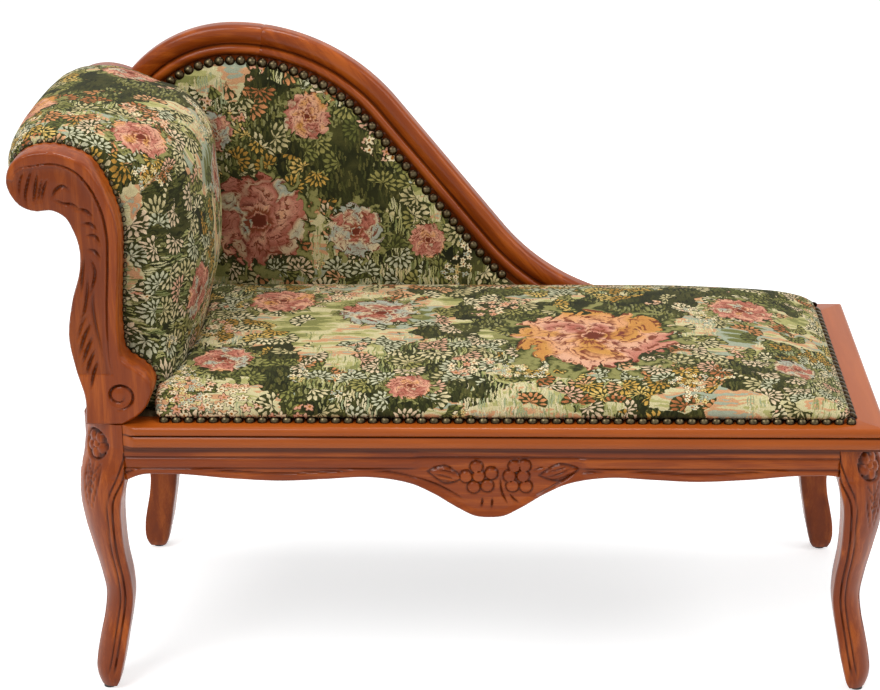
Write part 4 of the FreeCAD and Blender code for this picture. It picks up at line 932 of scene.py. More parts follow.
# Leaf cuts of the scrolled post: places as shares, half width and depth in millimetres
POST_CUTS = [
    ([(0.271, 0.425), (0.339, 0.381), (0.401, 0.314)], 3.4, 3.4),
    ([(0.248, 0.385), (0.328, 0.329), (0.391, 0.258)], 4.0, 4.2),
    ([(0.236, 0.337), (0.306, 0.284), (0.367, 0.225)], 4.0, 4.2),
    ([(0.226, 0.284), (0.284, 0.240), (0.334, 0.187)], 3.8, 4.2),
    ([(0.208, 0.240), (0.255, 0.195), (0.290, 0.140)], 3.6, 4.2),
    ([(0.250, 0.560), (0.283, 0.469), (0.320, 0.415), (0.370, 0.370)], 3.2, 3.8),
    ([(0.196, 0.520), (0.222, 0.447), (0.200, 0.360), (0.150, 0.250)], 3.4, 3.6),
    ([(0.270, 0.625), (0.307, 0.557), (0.330, 0.485)], 3.4, 3.8),
    ([(0.218, 0.618), (0.180, 0.572), (0.203, 0.528), (0.245, 0.484)], 3.2, 3.8),
    ([(0.230, 0.652), (0.173, 0.645), (0.122, 0.616)], 3.4, 3.8),
    ([(0.236, 0.702), (0.163, 0.700), (0.112, 0.668)], 3.4, 3.8),
    ([(0.273, 0.745), (0.195, 0.742), (0.135, 0.717)], 3.4, 3.8),
    ([(0.333, 0.795), (0.235, 0.790), (0.165, 0.765)], 3.4, 3.8),
    ([(0.532, 0.831), (0.456, 0.817), (0.359, 0.812), (0.272, 0.790)], 3.0, 3.4),
    ([(0.560, 0.836), (0.506, 0.866), (0.446, 0.878), (0.380, 0.862)], 3.6, 4.2),
    ([(0.588, 0.900), (0.633, 0.866), (0.661, 0.822)], 3.2, 3.8),
    ([(0.640, 0.900), (0.674, 0.859), (0.700, 0.820)], 2.8, 3.4),
    ([(0.682, 0.925), (0.716, 0.866), (0.742, 0.816)], 3.4, 4.0),
    ([(0.737, 0.936), (0.787, 0.885), (0.817, 0.840), (0.800, 0.806)], 3.2, 3.8),
    ([(0.816, 0.930), (0.866, 0.886), (0.872, 0.836)], 2.8, 3.0),
]
# Cuts deeper than about this, in millimetres, hold the most stain
LEAF_SHADE = 3.4
POST_SPACING = 1.6


def post_strokes():
    """Gouge cuts of the post: its field's edge, the leaf cuts and the volute's spiral."""
    strokes = [(head_place(FIELD_EDGE).tolist(), 2.4, 4.0)]
    for points, half_width, cut in POST_CUTS:
        strokes.append((head_place(points).tolist(), half_width, cut))
    # Volute: one and a half turns that open into the field's edge
    turns = np.linspace(0.0, 2.9 * math.pi, 40)
    centre = head_place(VOLUTE_CENTRE)
    radius = 3.5 + 18.0 * (turns / turns[-1]) ** 0.8
    across, up = radius * np.sin(turns + 0.5), 0.95 * radius * np.cos(turns + 0.5)
    spiral = np.stack([centre[0] + across, centre[1] + up], axis=1)
    strokes.append((spiral.tolist()[6:], 3.0, 4.4))
    return strokes


def build_post(name, node, outline_shares, side, carved, material):
    """One scrolled post, carved on its outer face."""
    outline = smooth_path(head_place(outline_shares), POST_SPACING)
    base = even_path(np.array([outline[-1], outline[0]]), POST_SPACING)[1:-1]
    outline = np.concatenate([outline, base])
    strokes = post_strokes() if carved else [(head_place(FIELD_EDGE[2:]).tolist(), 2.0, 2.4)]
    edge_path = smooth_path(head_place(FIELD_EDGE), 4.0)
    field_outline = np.concatenate([edge_path, head_place([(1.3, 0.88), (1.3, 0.19)])])
    eye = head_place(VOLUTE_CENTRE)

    def depth(x, z):
        cut = stroke_cuts(x, z, strokes)
        shade = np.clip(cut / LEAF_SHADE - 0.1, 0, 1) * 0.85
        if carved:
            # The ground behind the leaves is cut down, and so is a ring round the volute's button
            field = inside_outline(x, z, field_outline)
            from_edge = distance_to_path(x, z, edge_path)[0]
            lowered = 2.6 * ease(from_edge, 0.5, 6.0) * (1 - 0.55 * ease(from_edge, 8.0, 26.0))
            reach = np.hypot(x - eye[0], z - eye[1])
            cut += np.where(field, lowered, 0) + 1.6 * ease(reach, 3, 13) * (1 - ease(reach, 15, 17))
            shade = np.maximum(shade, 0.30 * field * ease(from_edge, 0.5, 5.0))
        return cut, shade

    board_piece(name, node, outline, 1.7, POST_THICKNESS, depth,
                lambda places, down: upright(places, side * (FRAME_Y - down)), material, 5.0)


# Aprons: lower edge of half an apron, run and drop as shares
APRON_EDGE = [
    (0.000, 1.000), (0.035, 0.975), (0.085, 0.760), (0.150, 0.400), (0.210, 0.140), (0.265, 0.020),
    (0.330, -0.040), (0.450, 0.010), (0.570, 0.060), (0.700, 0.010), (0.880, -0.110), (0.960, -0.080),
    (1.000, 0.060),
]
APRON_BASE = 339.0
APRON_THICKNESS = 24.0
FRONT_APRON_DROP = 59.0
FOOT_APRON_DROP = 26.0
# The front apron's drop hangs this far to the foot side of the middle between the legs
DROP_SHIFT = 10.0
# A raised band runs along the apron between two cut lines at these heights
BAND_LOW = 354.0
BAND_HIGH = 371.0


# Carving in the middle of the front apron, from its middle: round petals, leaves as centre, half length, half
# height and slope, and cuts
APRON_PETALS = [(-18, 357), (-33, 342), (-15, 343), (3, 347), (-22, 326), (-3, 328),
                (36, 358), (50, 359), (29, 343), (48, 343), (33, 328), (52, 327)]
PETAL_RADIUS = 9.0
APRON_LEAVES = [(-62, 345, 24, 12.5, -0.20), (99, 349, 27, 12.0, 0.18)]
APRON_CUTS = [
    ([(-10, 310), (-10, 302), (-12, 294)], 2.4, 3.4), ([(4, 309), (4, 301), (3, 293)], 2.4, 3.4),
    ([(16, 340), (17, 322), (26, 300)], 2.4, 3.2), ([(29, 316), (34, 308), (42, 302)], 2.4, 3.2),
    ([(-78, 347), (-62, 343), (-47, 338)], 2.0, 2.4), ([(-76, 354), (-60, 351), (-46, 346)], 2.0, 2.4),
    ([(-72, 338), (-60, 336), (-50, 333)], 1.8, 2.2), ([(-114, 344), (-76, 330), (-34, 306)], 2.4, 3.0),
    ([(80, 342), (98, 347), (116, 356)], 2.0, 2.4), ([(82, 350), (98, 354), (112, 359)], 2.0, 2.2),
    ([(86, 337), (102, 341), (120, 350)], 2.0, 2.4), ([(128, 352), (100, 334), (62, 312)], 2.2, 2.6),
    ([(62, 352), (70, 354), (78, 357)], 2.0, 2.6),
]


def petal_relief(x, z, middle):
    """Height of the round petals and of the leaves, from 0 to 1, and how close a place is to them."""
    heights = [np.zeros(x.shape), np.zeros(x.shape)]
    reach = np.full(x.shape, 9.0)
    for px, pz in APRON_PETALS:
        away = np.hypot(x - middle - px, z - pz) / PETAL_RADIUS
        heights.append(np.sqrt(np.clip(1 - away ** 2, 0, 1)))
        reach = np.minimum(reach, away)
    for px, pz, half_length, half_height, slope in APRON_LEAVES:
        along = (x - middle - px) / half_length
        across = (z - pz - slope * (x - middle - px)) / half_height
        away = np.abs(along) ** 1.5 + np.abs(across)
        heights.append(0.8 * np.sqrt(np.clip(1 - away ** 2, 0, 1)))
        reach = np.minimum(reach, away)
    ranked = np.sort(np.array(heights), axis=0)
    height = ranked[-1]
    # Petals that meet are parted by a crease
    crease = (1 - ease(ranked[-1] - ranked[-2], 0.02, 0.22)) * ease(ranked[-2], 0.10, 0.30)
    height = height - 0.35 * crease
    reach = np.where(crease > 0.5, 1.05, reach)
    return height, reach


def apron_depth(middle, carved, lower_edge):
    """Moulding and carving of an apron's face."""
    strokes = [([(middle + px, pz) for px, pz in points], width, cut) for points, width, cut in APRON_CUTS]

    def depth(x, z):
        above = z - np.interp(x, lower_edge[:, 0], lower_edge[:, 1])
        cut = 3.0 * ease(above, 9.0, 13.0) * (1 - ease(z, BAND_LOW - 2, BAND_LOW + 1))
        lip = np.clip(1 - ((above - 11.0) / 1.8) ** 2, 0, 1) * (z < BAND_LOW - 2)
        lines = np.zeros(x.shape)
        for level, width in ((BAND_LOW, 1.7), (BAND_HIGH, 1.6)):
            lines = np.maximum(lines, np.clip(1 - ((z - level) / width) ** 2, 0, 1))
        band = 1.3 * np.clip(1 - ((z - (BAND_LOW + BAND_HIGH) / 2) / 8.0) ** 2, 0, 1)
        if carved:
            near = (1 - ease(np.abs(x - middle - 14), 108, 128)) * ease(above, 0.5, 4.0)
            lines = lines * (1 - near * (z < BAND_LOW + 6))
            lip = lip * (1 - near)
            # The carved ground lies deeper, so that the petals and leaves stand out of it
            cut = cut * (1 - near) + near * 3.4 * ease(above, 0.0, 12.0)
        # Painted shade darkens the top of the apron, in the corner under the rim
        recess = np.maximum(np.maximum(0.8 * lip, 0.8 * lines), 0.75 * ease(z, 376.0, 381.0))
        cut = cut + 1.8 * lip + 2.0 * lines + (1.3 - band) * (z > BAND_LOW) * (z < BAND_HIGH)
        cut += 1.2 * (z > BAND_HIGH)
        if carved:
            rise, reach = petal_relief(x, z, middle)
            gouged = stroke_cuts(x, z, strokes) * near
            moat = near * (1 - ease(np.abs(reach - 1.05), 0.05, 0.26)) * (1 - rise)
            cut = cut + gouged + 1.2 * moat - 4.6 * rise * near
            recess = np.maximum(recess, 0.85 * np.maximum(np.clip(gouged / 3.0, 0, 1), moat))
        return np.clip(cut, -1.5, None), np.clip(recess, 0, 1)

    return depth


def apron_outline(start, end, middle, drop, spacing):
    """Outline of an apron, its lower edge first, with the lower edge on its own."""
    half_span = max(end - middle, middle - start)
    half = [(run * half_span, APRON_BASE - fall * drop) for run, fall in APRON_EDGE]
    lower = [(middle - run, z) for run, z in reversed(half[1:])] + [(middle + run, z) for run, z in half]
    path = smooth_path(lower, spacing)
    path = path[(path[:, 0] > start) & (path[:, 0] < end)]
    first, last = np.array([start, path[0, 1]]), np.array([end, path[-1, 1]])
    lower_edge = np.concatenate([[first], path, [last]])
    up = even_path(np.array([last, [end, RIM_BOTTOM]]), spacing)[1:]
    back = even_path(np.array([[end, RIM_BOTTOM], [start, RIM_BOTTOM]]), spacing)[1:]
    down = even_path(np.array([[start, RIM_BOTTOM], first]), spacing)[1:-1]
    return np.concatenate([lower_edge, up, back, down]), lower_edge


def build_aprons(wood_x, wood_y):
    """Front apron with its carved middle, and the plainer apron of the foot end."""
    start, end = STUMP_INNER_X, RIGHT_LEG_X - LEG_WIDTH / 2
    middle = (start + end) / 2 + DROP_SHIFT
    outline, lower = apron_outline(start, end, middle, FRONT_APRON_DROP, 2.0)
    board_piece("front_apron_carving", "front_apron", outline, 1.9, APRON_THICKNESS,
                apron_depth(middle, True, lower), lambda p, d: upright(p, -FRAME_Y + d), wood_x, 1.5)
    half = FRAME_Y - LEG_WIDTH
    outline, lower = apron_outline(-half, half, 0.0, FOOT_APRON_DROP, 2.4)
    board_piece("foot_apron_moulding", "foot_apron", outline, 2.4, APRON_THICKNESS,
                apron_depth(0.0, False, lower),
                lambda p, d: np.stack([FOOT_END_X - 3.0 - d, p[:, 0], p[:, 1]], axis=1), wood_y, 1.5)


# Crest rail: place of its path, radii of its arcs, and angles of its joint, its straight fall and its toe
CREST_FRONT_Y = 232.0
CREST_THICKNESS = 29.6
CREST_APEX_X = -349.0
CREST_TOP = 880.0
CREST_HEAD_RADIUS = 215.6
CREST_FOOT_RADIUS = 322.0
CREST_TOE_RADIUS = 330.0
CREST_JOINT = 8.0
CREST_FALL = 51.0
CREST_TOE = 8.0
CREST_TOE_Z = 436.5
# Depth of the stain in the cuts of the moulding
CREST_SHADE = 0.7
# The two lengths are eased by this at their joint, which leaves a fine line
CREST_EASING = 0.7
# Moulding of the rail's face: inset from its outer edge, depth from its front, and depth in a cut
CREST_MOULDING = [
    (10.5, 1.1, 0), (14.0, 0.6, 0), (18.0, 0.9, 0), (22.0, 2.2, 0), (25.5, 4.2, 0), (27.6, 6.4, 0.4),
    (28.6, 8.6, 1), (30.0, 9.2, 1), (31.0, 8.0, 1), (31.6, 5.6, 0.3), (33.0, 3.4, 0), (35.4, 1.9, 0),
    (38.0, 1.5, 0), (40.8, 2.0, 0), (43.2, 3.4, 0), (45.0, 5.5, 0.2), (46.0, 6.6, 0.8), (46.0, 8.0, 1),
    (64.0, 8.0, 0),
]


def crest_path():
    """Outer edge of the crest rail, every few millimetres from the head end.

    Each row is a place, its outward direction and the fall of the rail in degrees.
    """
    rows = []

    def add_arc(centre, radius, start, end, side):
        count = max(3, int(abs(end - start) * math.pi / 180 * radius / 4))
        for angle in np.linspace(start, end, count):
            out = (math.sin(math.radians(angle)), math.cos(math.radians(angle)))
            rows.append((centre[0] + side * radius * out[0], centre[1] + side * radius * out[1], *out, angle))

    add_arc((CREST_APEX_X, CREST_TOP - CREST_HEAD_RADIUS), CREST_HEAD_RADIUS, -60, 0, 1)
    add_arc((CREST_APEX_X, CREST_TOP - CREST_FOOT_RADIUS), CREST_FOOT_RADIUS, 0.4, CREST_FALL, 1)
    fall = math.radians(CREST_FALL)
    start_x, start_z = rows[-1][0], rows[-1][1]
    toe_rise = CREST_TOE_RADIUS * (math.cos(math.radians(CREST_TOE)) - math.cos(fall))
    length = (start_z - toe_rise - CREST_TOE_Z) / math.sin(fall)
    for run in np.linspace(0, length, 60)[1:-1]:
        rows.append((start_x + run * math.cos(fall), start_z - run * math.sin(fall), math.sin(fall),
                     math.cos(fall), CREST_FALL))
    end_x, end_z = start_x + length * math.cos(fall), start_z - length * math.sin(fall)
    centre = (end_x + CREST_TOE_RADIUS * math.sin(fall), end_z + CREST_TOE_RADIUS * math.cos(fall))
    add_arc(centre, CREST_TOE_RADIUS, CREST_FALL, CREST_TOE, -1)
    return np.array(rows)


def crest_profile():
    """Whole section of the crest rail: its outer side, the round of its outer edge, its face and its back."""
    profile = [(0.0, CREST_THICKNESS, 0), (0.0, 12.0, 0)]
    for angle in np.linspace(10, 80, 8):
        a = math.radians(angle)
        profile.append((10.0 * (1 - math.cos(a)), 1.5 + 10.5 * (1 - math.sin(a)), 0))
    return np.array(profile + CREST_MOULDING + [(64.0, CREST_THICKNESS, 0)])


def build_crest(materials):
    """Crest rail in its two lengths, with the moulding run along both."""
    path, profile = crest_path(), crest_profile()
    split = int(np.argmax(path[:, 4] >= CREST_JOINT))
    lengths = [("crest_crown_moulding", "crest_rail_crown", path[:split + 1], split),
               ("crest_sweep_moulding", "crest_rail_sweep", path[split:], 0)]
    for (name, node, rows, joint), material in zip(lengths, materials):
        rings = []
        for index, (x, z, out_x, out_z, _) in enumerate(rows):
            eased = CREST_EASING if index == joint else 0.0
            inset = profile[:, 0] + eased * (profile[:, 0] < 32)
            depth = profile[:, 1] + eased * (profile[:, 1] < 20)
            rings.append(np.stack([x - inset * out_x, CREST_FRONT_Y + depth,
                                   np.maximum(z - inset * out_z, RIM_TOP)], axis=1))
        wood_piece(name, node, rings, np.tile(profile[:, 2] * CREST_SHADE, len(rings)), material, 50)


# Cushions

# Blown up at this pressure over this many steps, a cushion settles
CLOTH_PRESSURE = 9.0
CLOTH_STEPS = 20
LEAST_SWELL = 0.75
MOST_SLIDE = 0.3


def read_vertices(mesh, values):
    """The places or the normals of all vertices."""
    numbers = np.zeros(len(mesh.vertices) * 3)
    mesh.vertices.foreach_get(values, numbers)
    return numbers.reshape(-1, 3)


def write_places(mesh, places):
    mesh.vertices.foreach_set("co", places.ravel())
    mesh.update()


def soften(piece, iterations):
    smooth = piece.modifiers.new("soften", "SMOOTH")
    smooth.factor = 0.5
    smooth.iterations = iterations


def apply_modifiers(piece):
    bpy.context.view_layer.update()
    shaped = piece.evaluated_get(bpy.context.view_layer.depsgraph)
    mesh, old = bpy.data.meshes.new_from_object(shaped), piece.data
    piece.modifiers.clear()
    piece.data = mesh
    bpy.data.meshes.remove(old)


def blown_up(piece, pins):
    """Places of a piece's vertices once it is blown up as cloth between its held ones."""
    group = piece.vertex_groups.new(name="held")
    for index in np.nonzero(pins > 0.5)[0]:
        group.add([int(index)], 1.0, "REPLACE")
    cloth = piece.modifiers.new("stuffing", "CLOTH")
    cloth.settings.use_pressure = True
    cloth.settings.uniform_pressure_force = CLOTH_PRESSURE
    cloth.settings.effector_weights.gravity = 0.0
    cloth.settings.vertex_group_mass = "held"
    scene = bpy.context.scene
    for step in range(1, CLOTH_STEPS + 1):
        scene.frame_set(step)
    shaped = piece.evaluated_get(bpy.context.evaluated_depsgraph_get())
    places = read_vertices(shaped.to_mesh(), "co")
    shaped.to_mesh_clear()
    piece.modifiers.remove(cloth)
    scene.frame_set(1)
    return places


def swollen_cushion(name, node, settings, held, seams):
    """A stuffed cushion: the frame's form remeshed, blown up as cloth between its held edges, then smoothed.

    held is one where the cover is fixed, and seams how far it stands out, both from places in millimetres.
    """
    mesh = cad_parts[node].data.copy()
    mesh.materials.clear()
    piece = add_to_scene(name, mesh)
    remesh = piece.modifiers.new("even_mesh", "REMESH")
    remesh.mode = "VOXEL"
    remesh.voxel_size = settings.voxel
    soften(piece, 4)
    apply_modifiers(piece)
    start, normals = read_vertices(piece.data, "co"), read_vertices(piece.data, "normal")
    pins = held(start / MM)
    moved = blown_up(piece, pins)
    # The stuffing is packed hard, so the cover never settles inward, and it swells no further than its limit
    shift = moved - start
    outward = np.sum(shift * normals, axis=1)
    sideways = shift - outward[:, None] * normals
    swell = np.clip(outward, LEAST_SWELL * settings.swell, settings.swell) * (1 - pins)
    slide = np.minimum(1, MOST_SLIDE * settings.swell / np.maximum(np.linalg.norm(sideways, axis=1), 1e-9))
    shift = swell[:, None] * normals + sideways * slide[:, None]
    write_places(piece.data, start + shift)
    soften(piece, 3)
    finer = piece.modifiers.new("finer", "SUBSURF")
    finer.levels = finer.render_levels = 1
    apply_modifiers(piece)
    points = read_vertices(piece.data, "co") / MM
    points += read_vertices(piece.data, "normal") * seams(points)[:, None]
    write_places(piece.data, points * MM)
    piece.data.shade_smooth()
    return piece, points


# Great blooms: place on the unrolled cloth, radius and hue share of each
SEAT_BLOOMS = [(204, -62, 120, 0.05), (-268, 96, 54, 0.20), (-118, 44, 58, 0.97), (-330, -150, 44, 0.74),
               (432, 88, 52, 0.52), (498, -140, 38, 0.80), (-60, -236, 34, 0.34)]
HEAD_BLOOMS = [(120, -70, 50, 0.12), (300, -150, 44, 0.30), (452, 30, 44, 0.97), (590, -110, 46, 0.74),
               (240, 130, 44, 0.55), (640, 120, 40, 0.20)]
BACK_BLOOMS = [(-318, 574, 80, 0.58), (-166, 556, 46, 0.95), (-236, 742, 38, 0.24), (-52, 540, 30, 0.34),
               (-384, 716, 34, 0.75)]
# A bloom's place is known this many radii out. Where two are as near, but for the margin, neither is drawn
BLOOM_REACH = 1.75
BLOOM_MARGIN = 0.15


def lay_cloth(piece, cloth, blooms):
    """Writes the unrolled place of every vertex, and its place in the nearest great bloom."""
    blooms = np.array(blooms, float)
    away = np.stack([np.hypot(cloth[:, 0] - u, cloth[:, 1] - v) / radius for u, v, radius, _ in blooms],
                    axis=1)
    chosen = blooms[away.argmin(axis=1)]
    away.sort(axis=1)
    local = np.column_stack([(cloth - chosen[:, :2]) / chosen[:, 2:3], chosen[:, 3]])
    write_attribute(piece.data, "cloth", np.column_stack([cloth * MM, np.zeros(len(cloth))]))
    write_attribute(piece.data, "bloom", local)
    write_attribute(piece.data, "on_bloom",
                    (away[:, 0] < BLOOM_REACH) & (away[:, 1] - away[:, 0] > BLOOM_MARGIN))


def finish_cushion(piece, material, fill, *nodes):
    piece.data.materials.clear()
    piece.data.materials.append(material)
    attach(piece, "root")
    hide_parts(*nodes)


def gathers(along, pitch):
    """Waves from 0 to 1 along an edge where the cover is drawn in."""
    return 0.5 + 0.5 * np.cos(2 * np.pi * along / pitch)


SEAT_SEAM_PITCH = 17.3
POST_SEAM_PITCH = 15.0
# Towards the foot end the seat's stuffing thins by this share of its height, and draws in by this length
FOOT_THINNING = 0.18
FOOT_DRAW = 9.0


def build_seat(settings, material):
    """Seat cushion, crowned and held down at its foot by the nails."""
    def held(p):
        return (p[:, 2] < RIM_TOP + 9).astype(float)

    def seams(p):
        # The cover is drawn in at each nail along the front, rear and foot edges
        low = (1 - ease(p[:, 2], 424, 442)) * (p[:, 2] > 415)
        return -1.1 * low * gathers(np.where(np.abs(p[:, 1]) > 215, p[:, 0], p[:, 1]), SEAT_SEAM_PITCH)

    piece, p = swollen_cushion("seat_cushion", "seat_foam", settings, held, seams)
    p[:, 2] -= FOOT_THINNING * ease(p[:, 0], 300, 560) * np.clip(p[:, 2] - RIM_TOP, 0, None)
    p[:, 0] -= FOOT_DRAW * ease(p[:, 0], 500, 572)
    write_places(piece.data, p * MM)
    # The cloth is cut from one piece, which runs down over the front, rear and foot edges
    drop = np.clip(480 - p[:, 2], 0, None)
    u = p[:, 0] + drop * ease(p[:, 0], 480, 585)
    v = p[:, 1] + np.sign(p[:, 1]) * drop * ease(np.abs(p[:, 1]), 120, 240)
    lay_cloth(piece, np.stack([u, v], axis=1), SEAT_BLOOMS)
    finish_cushion(piece, material, 0.85, "seat_cover", "seat_foam")


# Outer line of the head cushion: reach, height, direction in degrees from straight up, and swell shares
HEAD_PAD = [
    (0.775, 0.793, 190.0, 0.000), (0.935, 0.826, -125.0, 0.090), (1.000, 0.887, -90.0, 0.204),
    (0.935, 0.957, -50.0, 0.214), (0.746, 0.995, -15.0, 0.214), (0.428, 0.992, 20.0, 0.240),
    (0.181, 0.937, 50.0, 0.450), (0.022, 0.826, 68.0, 0.960), (-0.065, 0.705, 82.0, 0.930),
    (-0.043, 0.554, 90.0, 1.000), (-0.014, 0.378, 90.0, 0.990), (-0.051, 0.260, 90.0, 0.816),
    (-0.319, 0.145, 90.0, 0.320), (-0.304, 0.070, 90.0, 0.310), (-0.283, 0.001, 90.0, 0.300),
]
HEAD_SWELL = 103.0


def head_line():
    """Line of the swollen head cushion's cover, from under the scroll's tip to the seat."""
    rows = []
    for reach, height, direction, swell in HEAD_PAD:
        x, z = head_place((reach, height))
        angle = math.radians(direction)
        rows.append((x + swell * HEAD_SWELL * math.sin(angle), z + swell * HEAD_SWELL * math.cos(angle)))
    return smooth_path(rows, 6.0)


def build_head(settings, material):
    """Head cushion: rolls over the scroll and swells towards the seat."""
    def held(p):
        return ((np.abs(p[:, 1]) > PAD_HALF_DEPTH - 9) | (p[:, 2] < RIM_TOP + 8)).astype(float)

    def seams(p):
        # Gathers where the cover is drawn to the nails on both posts
        near = ease(np.abs(p[:, 1]), 178, 206)
        return -1.0 * near * gathers(p[:, 2] - 0.6 * p[:, 0], POST_SEAM_PITCH)

    piece, p = swollen_cushion("head_cushion", "head_foam", settings, held, seams)
    line = head_line()
    gap, along = distance_to_path(p[:, 0], p[:, 2], line)
    v = p[:, 1] + np.sign(p[:, 1]) * 0.6 * gap * ease(np.abs(p[:, 1]), 60, 200)
    lay_cloth(piece, np.stack([along * run_lengths(line)[-1], v], axis=1), HEAD_BLOOMS)
    finish_cushion(piece, material, 0.9, "head_cover", "head_foam")


def build_back(settings, material):
    """Back cushion: a tight pad that follows the crest rail."""
    def held(p):
        return (p[:, 1] > 233).astype(float)

    def seams(p):
        return np.zeros(len(p))

    piece, p = swollen_cushion("back_cushion", "back_foam", settings, held, seams)
    lay_cloth(piece, p[:, [0, 2]], BACK_BLOOMS)
    finish_cushion(piece, material, 0.7, "back_cover", "back_foam")


# Nails

# Section of a nail's head from its middle: reach, height and how much patina it holds
NAIL_PROFILE = [(0.0, 0.52, 0.0), (0.22, 0.50, 0.0), (0.44, 0.44, 0.15), (0.64, 0.34, 0.6), (0.80, 0.22, 0.9),
                (0.92, 0.10, 1.0), (1.0, -0.02, 1.0), (0.97, -0.14, 1.0), (0.80, -0.16, 1.0)]
NAIL_SIDES = 14
# Nails along the sides of the seat: where a row starts in X, its Y, height over the rim and lean
SEAT_NAIL_LINES = [(-405.0, -248.5, 3.0, -0.86), (236.0, 250.5, 3.6, 0.86)]
SEAT_NAILS_END = 566.0
FOOT_NAILS_X = 569.0
FOOT_NAILS_EACH_WAY = 13
# The crest nails stand this far inside the crest rail's outer edge
NAIL_INSET = 53.0
# Rows of nails along the posts: distance from the middle plane, height off the edge of the scroll, and pitch
POST_NAILS_Y = 212.5
POST_NAIL_LIFT = 2.5
POST_NAIL_PITCH = 13.2
# Heads of the seat and of the posts are smaller than those under the crest
SEAT_NAIL_SIZE = 0.92
POST_NAIL_SIZE = 0.56


def nail_heads(name, rows, radius, material):
    """Domed nail heads, each at a place with the direction it faces."""
    points, faces, recess = [], [], []
    rings = len(NAIL_PROFILE) - 1
    angles = [2 * math.pi * i / NAIL_SIDES for i in range(NAIL_SIDES)]
    for place, facing in rows:
        middle, facing = Vector(place), Vector(facing).normalized()
        turn = facing.to_track_quat("Z", "Y").to_matrix()
        base = len(points) + 1
        points.append(tuple(middle + facing * (NAIL_PROFILE[0][1] * radius)))
        recess.append(0.0)
        for reach, rise, patina in NAIL_PROFILE[1:]:
            recess += [patina] * NAIL_SIDES
            for angle in angles:
                out = reach * radius
                local = Vector((out * math.cos(angle), out * math.sin(angle), rise * radius))
                points.append(tuple(middle + turn @ local))
        for i in range(NAIL_SIDES):
            j = (i + 1) % NAIL_SIDES
            faces.append((base - 1, base + i, base + j))
            for ring in range(rings - 1):
                low, high = base + ring * NAIL_SIDES, base + (ring + 1) * NAIL_SIDES
                faces.append((low + i, high + i, high + j, low + j))
        last = base + (rings - 1) * NAIL_SIDES
        faces.append(tuple(range(last, last + NAIL_SIDES))[::-1])
    make_piece(name, points, faces, material, recess)


def surface_ahead(piece, place, facing):
    """Place in millimetres where a line from outside, against the facing, first meets a piece."""
    facing = Vector(facing).normalized()
    start = (Vector(place) + 40 * facing) * MM
    found, hit, _, _ = piece.ray_cast(start, -facing)
    return Vector(hit) / MM if found else Vector(place)


def build_nails(settings, material):
    """Rows of nails round the seat, under the crest and along both posts."""
    radius = settings.diameter / 2 / MM
    pitch = settings.seat_pitch / MM
    rows = []
    for start, y, rise, lean in SEAT_NAIL_LINES:
        rows += [((x, y, RIM_TOP + rise), (0, lean, 0.5)) for x in np.arange(start, SEAT_NAILS_END, pitch)]
    for y in np.arange(-FOOT_NAILS_EACH_WAY, FOOT_NAILS_EACH_WAY + 1) * pitch:
        rows.append(((FOOT_NAILS_X, y, RIM_TOP + 4.0), (0.5, 0, 0.86)))
    nail_heads("seat_nails", rows, radius * SEAT_NAIL_SIZE, material)
    # The crest nails sit on the back cushion, close along the crest rail's inner edge
    path = crest_path()
    run = run_lengths(path[:, :2] - NAIL_INSET * path[:, 2:4])
    at = np.arange(0, run[-1], settings.crest_pitch / MM)
    rows = []
    for x, z, out_x, out_z in zip(*(np.interp(at, run, path[:, k]) for k in range(4))):
        x, z = x - NAIL_INSET * out_x, z - NAIL_INSET * out_z
        if x > -458 and z > 470:
            seat = surface_ahead(bpy.data.objects["back_cushion"], (x, 228.0, z), (0, -1, 0))
            rows.append(((x, min(seat.y - 0.8, 232.0), z), (0.20 * out_x, -0.98, 0.20 * out_z)))
    nail_heads("crest_nails", rows, radius, material)
    edge = smooth_path(head_place(POST_OUTLINE[13:31]), POST_NAIL_PITCH)
    for side, name in ((FRONT, "front_post_nails"), (REAR, "rear_post_nails")):
        rows = []
        for before, place, after in zip(edge[:-2], edge[1:-1], edge[2:]):
            out = np.array([before[1] - after[1], after[0] - before[0]]) / np.linalg.norm(after - before)
            x, z = place + POST_NAIL_LIFT * out
            rows.append(((x, side * POST_NAILS_Y, z), (0.8 * out[0], side * 0.6, 0.8 * out[1])))
        nail_heads(name, rows, radius * POST_NAIL_SIZE, material)


# Sheets of cloth

SHEET_THICKNESS = 1.4
SHEET_SPACING = 12.0
# The cloth behind the back is nailed down this far inside the crest's outer edge, and down to these places
CREST_LAP = 40.0
BACK_SHEET_HEAD_X = -483.0
BACK_SHEET_LOW = 424.0
# The cloth behind the head starts at this share of the posts' height
HEAD_SHEET_TOP = 0.73


def outside_back_outline():
    """Edge of the cloth behind the back, inside the crest rail."""
    path = crest_path()
    inner = path[:, :2] - CREST_LAP * path[:, 2:4]
    top = even_path(inner[(inner[:, 0] > BACK_SHEET_HEAD_X) & (inner[:, 1] > BACK_SHEET_LOW)], SHEET_SPACING)
    corner = [BACK_SHEET_HEAD_X, BACK_SHEET_LOW]
    bottom = even_path(np.array([[top[-1, 0], BACK_SHEET_LOW], corner]), SHEET_SPACING)
    left = even_path(np.array([corner, top[0]]), SHEET_SPACING)[1:-1]
    return np.concatenate([top, bottom, left])


def build_back_outside(material):
    """Cloth stretched behind the back, bowed out a little."""
    outline = outside_back_outline()
    places, front = filled_outline(outline, SHEET_SPACING)
    y = FRAME_Y + 0.1 + 0.5 * ease(gap_to_outline(places, outline), 0, 60)
    count, rim = len(places), len(outline)
    faces = front + [tuple(count + i for i in reversed(face)) for face in front]
    for i in range(rim):
        j = (i + 1) % rim
        faces.append((i, j, count + j, count + i))
    points = np.concatenate([upright(places, y), upright(places, y + SHEET_THICKNESS)])
    piece = make_piece("outside_back_cloth", points, faces, material, node="back_outside_cover")
    lay_cloth(piece, np.concatenate([places, places]), BACK_BLOOMS)


